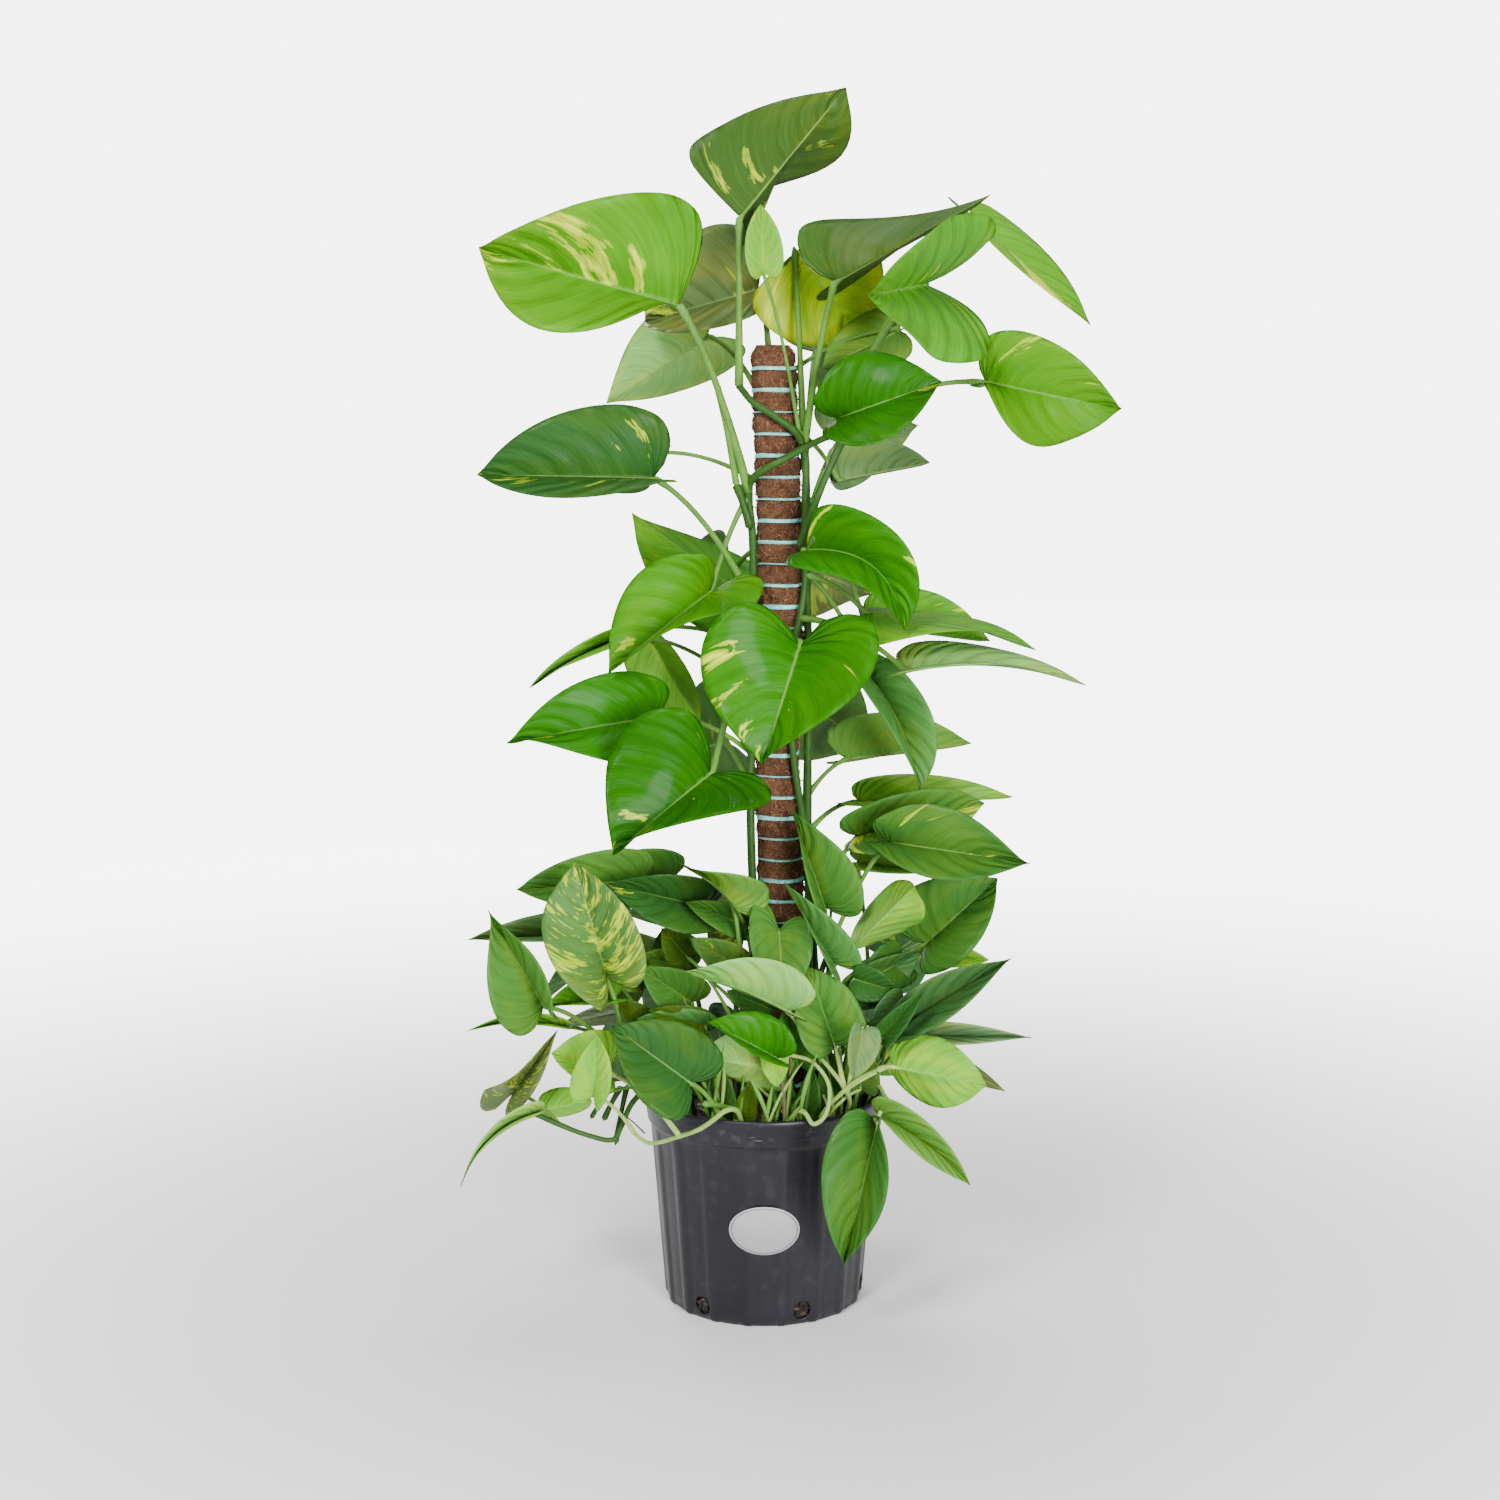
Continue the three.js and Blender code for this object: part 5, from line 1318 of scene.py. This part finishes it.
def label_material():
    """A satin pale sticker with a fine raised line round its edge, with painted light that makes it lighter
    towards its top.
    """
    s = Surface("satin_label", Specular_IOR_Level=0.5)
    x, _, z = s.split(s.object_place())
    half_height = LABEL_HEIGHT / 2
    wide = x / (LABEL_WIDTH / 2 * MM)
    tall = (z - LABEL_CENTRE_HEIGHT * MM) / (half_height * MM)
    reach = s.maths("SQRT", wide * wide + tall * tall)
    line = s.step(reach, 0.900, 0.912) * s.step(reach, 0.932, 0.944, 1.0, 0.0)
    # Painted light: the sticker grows lighter towards its top, as lit from above
    painted_top_light = s.step(z, (LABEL_CENTRE_HEIGHT - half_height) * MM, (LABEL_CENTRE_HEIGHT + half_height) * MM)
    cloud = s.noise(s.object_place(), 120.0, 4.0)
    colour = s.mix(painted_top_light, (0.27, 0.27, 0.28), (0.38, 0.38, 0.39))
    colour = s.mix(s.step(cloud, 0.3, 0.8, 0.0, 0.25), colour, (0.22, 0.22, 0.23))
    colour = s.mix(line * 0.9, colour, (0.07, 0.08, 0.11))
    return s.join(
        Base_Color=colour, Roughness=s.step(cloud, 0.2, 0.8, 0.32, 0.46), Normal=s.bump(line, 0.0002, 0.5),
    )


def stake_material():
    s = Surface("raw_stake", Roughness=0.8)
    grain = s.noise(s.stretched(s.object_place(), 1.0, 1.0, 0.05), 500.0, 4.0)
    colour = s.mix(s.step(grain, 0.3, 0.7), (0.22, 0.13, 0.06), (0.42, 0.29, 0.15))
    return s.join(Base_Color=colour, Normal=s.bump(grain, 0.0005, 0.6))


def floor_material():
    """A pale floor that fades into the backdrop, which only the camera sees glow."""
    s = Surface("pale_floor", Roughness=0.9, Specular_IOR_Level=0.2, Emission_Color=(1, 1, 1, 1))
    reach = s.field("ShaderNodeVectorMath", {0: s.object_place()}, output="Value", operation="LENGTH")
    far = s.step(reach, 0.35, 2.6)
    return s.join(
        Base_Color=s.mix(far, (0.93, 0.93, 0.93), (0.45, 0.45, 0.45)),
        Emission_Strength=far * s.seen_by_camera() * BACKDROP_BRIGHTNESS,
    )


# The pot


def wall_radius(height):
    return BASE_RADIUS + (WALL_UNDER_COLLAR_RADIUS - BASE_RADIUS) * height / COLLAR_FOOT


def flute(angle):
    """How far a flute lies under the ridges at an angle round the pot, from 0 on a ridge to 1."""
    turn = (angle / math.tau * FLUTE_COUNT) % 1
    from_ridge = min(turn, 1 - turn) * 2
    return smooth_step(0.08, 0.55, from_ridge)


def pot_profile():
    """The pot's wall from the outside of the foot over the rim to the floor inside: radius, height,
    and how much of the flutes shows there."""
    top = COLLAR_FOOT
    neck = WALL_UNDER_COLLAR_RADIUS
    outside = [(BASE_RADIUS - 4.5, 0, 0), (BASE_RADIUS - 2.2, 0.3, 0.5), (BASE_RADIUS - 0.6, 2.0, 0.9)]
    for i in range(18):
        height = 4 + (top - 9) * i / 17
        outside.append((wall_radius(height), height, 1 if i < 16 else 0.6))
    outside += [(neck - 0.1, top - 2.5, 0.2), (neck + 0.6, top - 0.5, 0)]
    rise = COLLAR_HEIGHT
    collar = (
        (3.4, 0.4), (2.8, 1.2), (2.5, 6.6), (2.2, 7.2), (1.7, 7.9), (1.5, 14.4), (1.2, 15.0), (0.8, 15.6),
        (0.6, 21.4), (0.3, 21.9), (0, 22.4), (0, rise - 1.6), (0.8, rise - 0.3), (1.7, rise),
        (3.0, rise - 0.6), (3.6, rise - 3),
    )
    outside += [(RIM_RADIUS - step, top + up, 0) for step, up in collar]
    inside = [(neck - 0.6, top + 6, 0), (neck - WALL_THICKNESS, top - 4, 0.6)]
    for i in range(8):
        height = top - 12 - (top - 12 - FLOOR_THICKNESS - 2) * i / 7
        inside.append((wall_radius(height) - WALL_THICKNESS, height, 1))
    inside += [(BASE_RADIUS - WALL_THICKNESS - 4, FLOOR_THICKNESS, 0.4), (0, FLOOR_THICKNESS, 0)]
    return [(0, 0, 0), *outside, *inside]


def pot_shell():
    """The pot before its drain holes are cut."""
    profile = pot_profile()
    bm = bmesh.new()

    def place(share, row):
        angle = math.tau * share
        radius, height, fluted = profile[row]
        sunk = flute(angle)
        if 0 < height < 3:
            height += FOOT_SCALLOP * sunk
        return ring_point(angle, radius - fluted * FLUTE_DEPTH * sunk, height)

    add_sheet(bm, columns=16 * FLUTE_COUNT, rows=len(profile) - 1, place=place)
    return new_object("pot_body", bm)


def hole_turn(number):
    """The turn that brings a place at the right side of the pot to one of its drain holes."""
    return Matrix.Rotation(math.radians(-90 + DRAIN_HOLE_TURN + 360 * number / DRAIN_HOLE_COUNT), 4, "Z")


def drain_hole_drills():
    bm = bmesh.new()
    radius = DRAIN_HOLE_RADIUS * MM
    for number in range(DRAIN_HOLE_COUNT):
        place = hole_turn(number) @ Matrix.Translation((BASE_RADIUS * MM, 0, DRAIN_HOLE_HEIGHT * MM))
        place = place @ Matrix.Rotation(math.pi / 2, 4, "Y")
        bmesh.ops.create_cone(
            bm, cap_ends=True, segments=32, radius1=radius, radius2=radius, depth=DRILL_LENGTH * MM,
            matrix=place,
        )
    return new_object("drills", bm)


def make_pot():
    pot = pot_shell()
    drills = drain_hole_drills()
    cut = pot.modifiers.new("drain_holes", "BOOLEAN")
    cut.object = drills
    cut.operation = "DIFFERENCE"
    cut.solver = "EXACT"
    bpy.context.view_layer.update()
    holed = bpy.data.meshes.new_from_object(pot.evaluated_get(bpy.context.evaluated_depsgraph_get()))
    pot.modifiers.clear()
    pot.data = holed
    holed.materials.clear()
    bpy.data.objects.remove(drills)
    keep_piece(pot, "pot_plastic", "pot", pot_material())


# The soil, with a crumbly top


def soil_top(x, y):
    """The height of the soil's low mound."""
    reach = math.hypot(x, y) / MOUND_RADIUS
    return SOIL_HEIGHT + 1 - MOUND_FALL * smooth_step(0.55, 1.02, reach)


def soil_bumps(x, y):
    """Small uneven heights of the soil's top, from a few crossed waves."""
    return (
        0.9 * math.sin(0.21 * x + 1.3 * math.sin(0.17 * y))
        + 0.7 * math.sin(0.37 * y + 1.1 * math.sin(0.29 * x))
        + 0.5 * math.sin(0.81 * x + 0.63 * y)
    )


def add_soil_fill(bm):
    """The fill of the pot, a gap inside its wall."""
    clear = FLUTE_DEPTH + WALL_THICKNESS + GAP + 0.4
    top_radius = wall_radius(SOIL_HEIGHT - 12) - clear
    profile = [(0, FLOOR_THICKNESS + GAP), (BASE_RADIUS - clear - 1, FLOOR_THICKNESS + GAP)]
    profile += [(wall_radius(height) - clear, height) for height in (40, 86, 132)]
    profile += [(top_radius * (1 - i / MOUND_RINGS), None) for i in range(MOUND_RINGS + 1)]

    def place(share, row):
        angle = math.tau * share
        radius, height = profile[row]
        x = radius * math.cos(angle)
        y = radius * math.sin(angle)
        if height is None:
            height = soil_top(x, y) + (soil_bumps(x, y) if radius < top_radius - 1 else 0)
        return Vector((x, y, height))

    add_sheet(bm, columns=140, rows=len(profile) - 1, place=place)


def add_lumps(bm):
    """Many small lumps, made by doubling one over and over, each as a list of its points."""
    lump = bmesh.ops.create_icosphere(bm, subdivisions=1, radius=1)["verts"]
    parts = [part for vert in lump for part in (vert, *vert.link_edges, *vert.link_faces)]
    parts = list(dict.fromkeys(parts))
    for _ in range(CRUMB_DOUBLINGS):
        parts += bmesh.ops.duplicate(bm, geom=parts)["geom"]
    bm.verts.index_update()
    verts = [part for part in parts if isinstance(part, bmesh.types.BMVert)]
    verts.sort(key=lambda vert: vert.index)
    return [verts[first:first + len(lump)] for first in range(0, len(verts), len(lump))]


def shape_crumb(lump, number, dice, tone_layer):
    """Makes a lump a crumb of earth, bark or perlite, in a drain hole or else on top of the soil."""
    hole, number_in_hole = divmod(number, CRUMBS_PER_HOLE)
    angle = dice.uniform(0, math.tau)
    reach = CRUMB_REACH * math.sqrt(dice.random())
    size = dice.choice((1.2, 1.6, 2.2, 3.4))
    kind = dice.random()
    tone = EARTH_TONE
    stretch = Vector((1, dice.uniform(0.5, 1), dice.uniform(0.35, 0.8)))
    if kind > 0.975:
        tone = PERLITE_TONE
    elif kind > 0.55:
        tone = BARK_TONE
        stretch = Vector((dice.uniform(1.2, 2.4), dice.uniform(0.5, 0.9), dice.uniform(0.25, 0.5)))
    turned = Matrix.Rotation(dice.uniform(0, 6.28), 4, "Z")
    turned = turned @ Matrix.Rotation(dice.uniform(-0.5, 0.5), 4, "X")
    if hole < DRAIN_HOLE_COUNT:
        # Crumbs in a drain hole take darker tones: painted shade inside the hole
        tone = HOLE_SHADE_EARTH_TONE if kind < 0.8 else HOLE_SHADE_BARK_TONE
        size = dice.uniform(1.6, 3.0)
        swing = SPIRAL_TURN * number_in_hole
        out = SPIRAL_RADIUS * math.sqrt(number_in_hole / CRUMBS_PER_HOLE)
        across = out * math.cos(swing)
        up = DRAIN_HOLE_HEIGHT + out * math.sin(swing)
        place = hole_turn(hole) @ Matrix.Translation((wall_radius(DRAIN_HOLE_HEIGHT) - 3.4, across, up))
    else:
        x = reach * math.cos(angle)
        y = reach * math.sin(angle)
        place = Matrix.Translation((x, y, soil_top(x, y) + 0.3 * size))
    for vert in lump:
        corner = vert.co * stretch * (size * dice.uniform(0.8, 1.15))
        vert.co = (place @ turned @ corner) * MM
        vert[tone_layer] = tone


def make_soil():
    bm = bmesh.new()
    _, tone_layer, _ = layers_of(bm)
    add_soil_fill(bm)
    for vert in bm.verts:
        vert[tone_layer] = (0, 0, 0, 0)
    dice = random.Random(11)
    for number, lump in enumerate(add_lumps(bm)):
        shape_crumb(lump, number, dice, tone_layer)
    for face in bm.faces:
        if face.verts[0][tone_layer][3] > 0.5:
            face.material_index = 1
    keep_piece(new_object("soil_fill", bm), "soil_mix", "soil", soil_material(), crumb_material())


# The totem pole


def squeeze(angle, height):
    """How much the twine pulls the coir in at a place, from 0 to 1."""
    turns = (height - TWINE_START + TWINE_LEVELLING * math.cos(angle)) / TWINE_PITCH - angle / math.tau
    off = (turns - round(turns)) * TWINE_PITCH
    return bell(off, SQUEEZE_HALF_HEIGHT) if height > TWINE_START - 4 else 0


def coir_reach(angle, height):
    """How far the coir reaches from the pole's axis: bulging between the turns, drawn in at both ends."""
    bulge = 0.6 * math.sin(0.031 * height + 2 * angle) + 0.5 * math.sin(0.083 * height - 3 * angle)
    bulge += 0.5 * math.sin(0.19 * height + 1.7 * math.sin(2 * angle + 0.05 * height))
    ends = smooth_step(COIR_BOTTOM - 1, COIR_BOTTOM + 7, height)
    ends *= smooth_step(COIR_TOP + 1, COIR_TOP - 9, height)
    pulled = squeeze(angle, height)
    return (COIR_RADIUS - 0.9 * pulled + (1.5 + 1.1 * bulge) * (1 - pulled)) * (0.8 + 0.2 * ends)


def coir_fibre(axes, dice):
    """One curled fibre that lies on the coir; a few stand off it."""
    height = dice.uniform(COIR_BOTTOM + 4, COIR_TOP - 6)
    angle = dice.uniform(0, math.tau)
    lean = dice.gauss(0, 1.0)
    length = dice.uniform(6, 18)
    bend = dice.uniform(-2.4, 2.4)
    lift = dice.uniform(0.0, 1.4) if dice.random() < 0.93 else dice.uniform(1.5, 4.5)
    points = []
    for share in (-0.5, -0.25, 0, 0.25, 0.5):
        turned = lean + bend * share
        way_up = min(COIR_TOP - 1, max(COIR_BOTTOM + 1, height + length * share * math.cos(turned)))
        way_round = angle + length * share * math.sin(turned) / COIR_RADIUS
        out = coir_reach(way_round, way_up) - 0.5 + lift * (1 - 4 * share * share)
        points.append(axis_between(axes, way_up) + ring_point(way_round, out))
    shade = dice.choice((0.15, 0.4, 0.9, 1.4, 2.0))
    thick = dice.uniform(0.16, 0.34)
    return tube(points, [0, thick, thick, thick, 0], [part * shade for part in FIBRE_TONE])


def axis_between(axes, height):
    """The pole's axis at a height, from points of it at even heights."""
    place = (height - COIR_BOTTOM) / (COIR_TOP - COIR_BOTTOM) * COIR_RINGS
    first = min(COIR_RINGS - 1, max(0, int(place)))
    return axes[first].lerp(axes[first + 1], place - first)


def make_coir():
    bm = bmesh.new()
    _, tone_layer, _ = layers_of(bm)
    step = (COIR_TOP - COIR_BOTTOM) / COIR_RINGS
    axes = [pole_axis(COIR_BOTTOM + step * i) for i in range(COIR_RINGS + 1)]

    def place(share, row):
        angle = math.tau * share
        axis = axes[min(COIR_RINGS, max(0, row - 1))]
        closed = row == 0 or row == COIR_RINGS + 2
        return axis + ring_point(angle, 0 if closed else coir_reach(angle, axis.z))

    add_sheet(bm, columns=40, rows=COIR_RINGS + 2, place=place)
    for vert in bm.verts:
        vert[tone_layer] = COIR_TONE
    dice = random.Random(5)
    add_tubes(bm, [coir_fibre(axes, dice) for _ in range(COIR_FIBRE_COUNT)], sides=3)
    keep_piece(new_object("coir_jacket", bm), "coir_fibre", "coir_sleeve", coir_material())


def make_twine():
    """The twine, wound round the pole as one flat band."""
    bm = bmesh.new()
    points = []
    radii = []
    for i in range(TWINE_STEPS_PER_TURN * math.floor((COIR_TOP - 8 - TWINE_START) / TWINE_PITCH) + 1):
        angle = math.tau * i / TWINE_STEPS_PER_TURN
        height = TWINE_START + TWINE_PITCH * i / TWINE_STEPS_PER_TURN - TWINE_LEVELLING * math.cos(angle)
        reach = COIR_RADIUS + 0.2 + 0.2 * math.sin(3 * angle + 0.4 * i)
        points.append(pole_axis(height) + ring_point(angle, reach))
        radii.append(TWINE_BAND_HALF_HEIGHT * (1 + 0.16 * math.sin(0.37 * i) * math.sin(0.113 * i)))
    winding = tube(points, radii, TWINE_TONE, across=(0, 0, 1))
    add_tubes(bm, [winding], sides=12, oval=TWINE_BAND_FLATNESS)
    keep_piece(new_object("twine_winding", bm), "twine_cord", "twine", twine_material())


# The label


def make_label():
    """The oval sticker, bent round the pot."""
    bm = bmesh.new()
    layers_of(bm)

    def place(share, row):
        turn = math.pi * (share - 0.5)
        height = LABEL_CENTRE_HEIGHT + (2 * row / LABEL_ROWS - 1) * math.cos(turn) * LABEL_HEIGHT / 2
        radius = wall_radius(height) + GAP - 0.2
        angle = -math.pi / 2 + math.sin(turn) * LABEL_WIDTH / 2 / radius
        return ring_point(angle, radius, height)

    add_sheet(bm, columns=2 * LABEL_ROWS, rows=LABEL_ROWS, place=place)
    bmesh.ops.solidify(bm, geom=bm.faces[:], thickness=-LABEL_THICKNESS * MM)
    bmesh.ops.recalc_face_normals(bm, faces=bm.faces[:])
    smooth(bm)
    keep_piece(new_object("oval_label", bm), "label_paper", "label", label_material())


# Floor, lights and camera


def make_floor():
    bm = bmesh.new()
    bmesh.ops.create_grid(bm, x_segments=1, y_segments=1, size=FLOOR_HALF_WIDTH)
    floor = new_object("floor", bm)
    floor.data.materials.append(floor_material())


def make_world():
    """Even light from all sides, which the camera sees as a bright backdrop."""
    world = bpy.data.worlds.new("studio")
    world.use_nodes = True
    s = Shader(world.node_tree)
    lit = s.tree.nodes["Background"]
    s.fill(lit, {"Color": (1, 1, 1, 1), "Strength": WORLD_LIGHT})
    backdrop = s.field("ShaderNodeBackground", {"Color": (1, 1, 1, 1), "Strength": BACKDROP_BRIGHTNESS})
    values = {0: s.seen_by_camera(), 1: Field(s, lit.outputs[0]), 2: backdrop}
    s.fill(s.tree.nodes["World Output"], {"Surface": s.field("ShaderNodeMixShader", values)})
    bpy.context.scene.world = world


def add_lamp(name, place, aim, size, power):
    data = bpy.data.lights.new(name, "AREA")
    data.shape = "DISK"
    data.size = size
    data.energy = power
    lamp = bpy.data.objects.new(name, data)
    lamp.location = place
    lamp.rotation_euler = (Vector(aim) - Vector(place)).to_track_quat("-Z", "Y").to_euler()
    bpy.context.scene.collection.objects.link(lamp)


def make_camera():
    data = bpy.data.cameras.new("camera")
    data.lens = CAMERA_LENS
    data.sensor_width = CAMERA_SENSOR
    camera = bpy.data.objects.new("camera", data)
    camera.location = VIEWING_POINT * MM
    camera.rotation_euler = (math.radians(90 - CAMERA_PITCH), 0, 0)
    bpy.context.scene.collection.objects.link(camera)
    bpy.context.scene.camera = camera


make_world()
for lamp_row in LAMPS:
    add_lamp(*lamp_row)
make_camera()
make_floor()
plant_materials = (leaf_material(), stem_material(), root_material())
for number, row in enumerate(VINES, 1):
    make_plant(row, [round_pole(place) for place in row.path], "climbing_leaf", plant_materials, number)
for number, row in enumerate(SHOOTS, 11):
    make_plant(row, [Vector(place) for place in row.path], "shoot_leaf", plant_materials, number)
make_pot()
make_soil()
make_coir()
make_twine()
make_label()
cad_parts["pole_stake"].data.materials.clear()
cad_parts["pole_stake"].data.materials.append(stake_material())
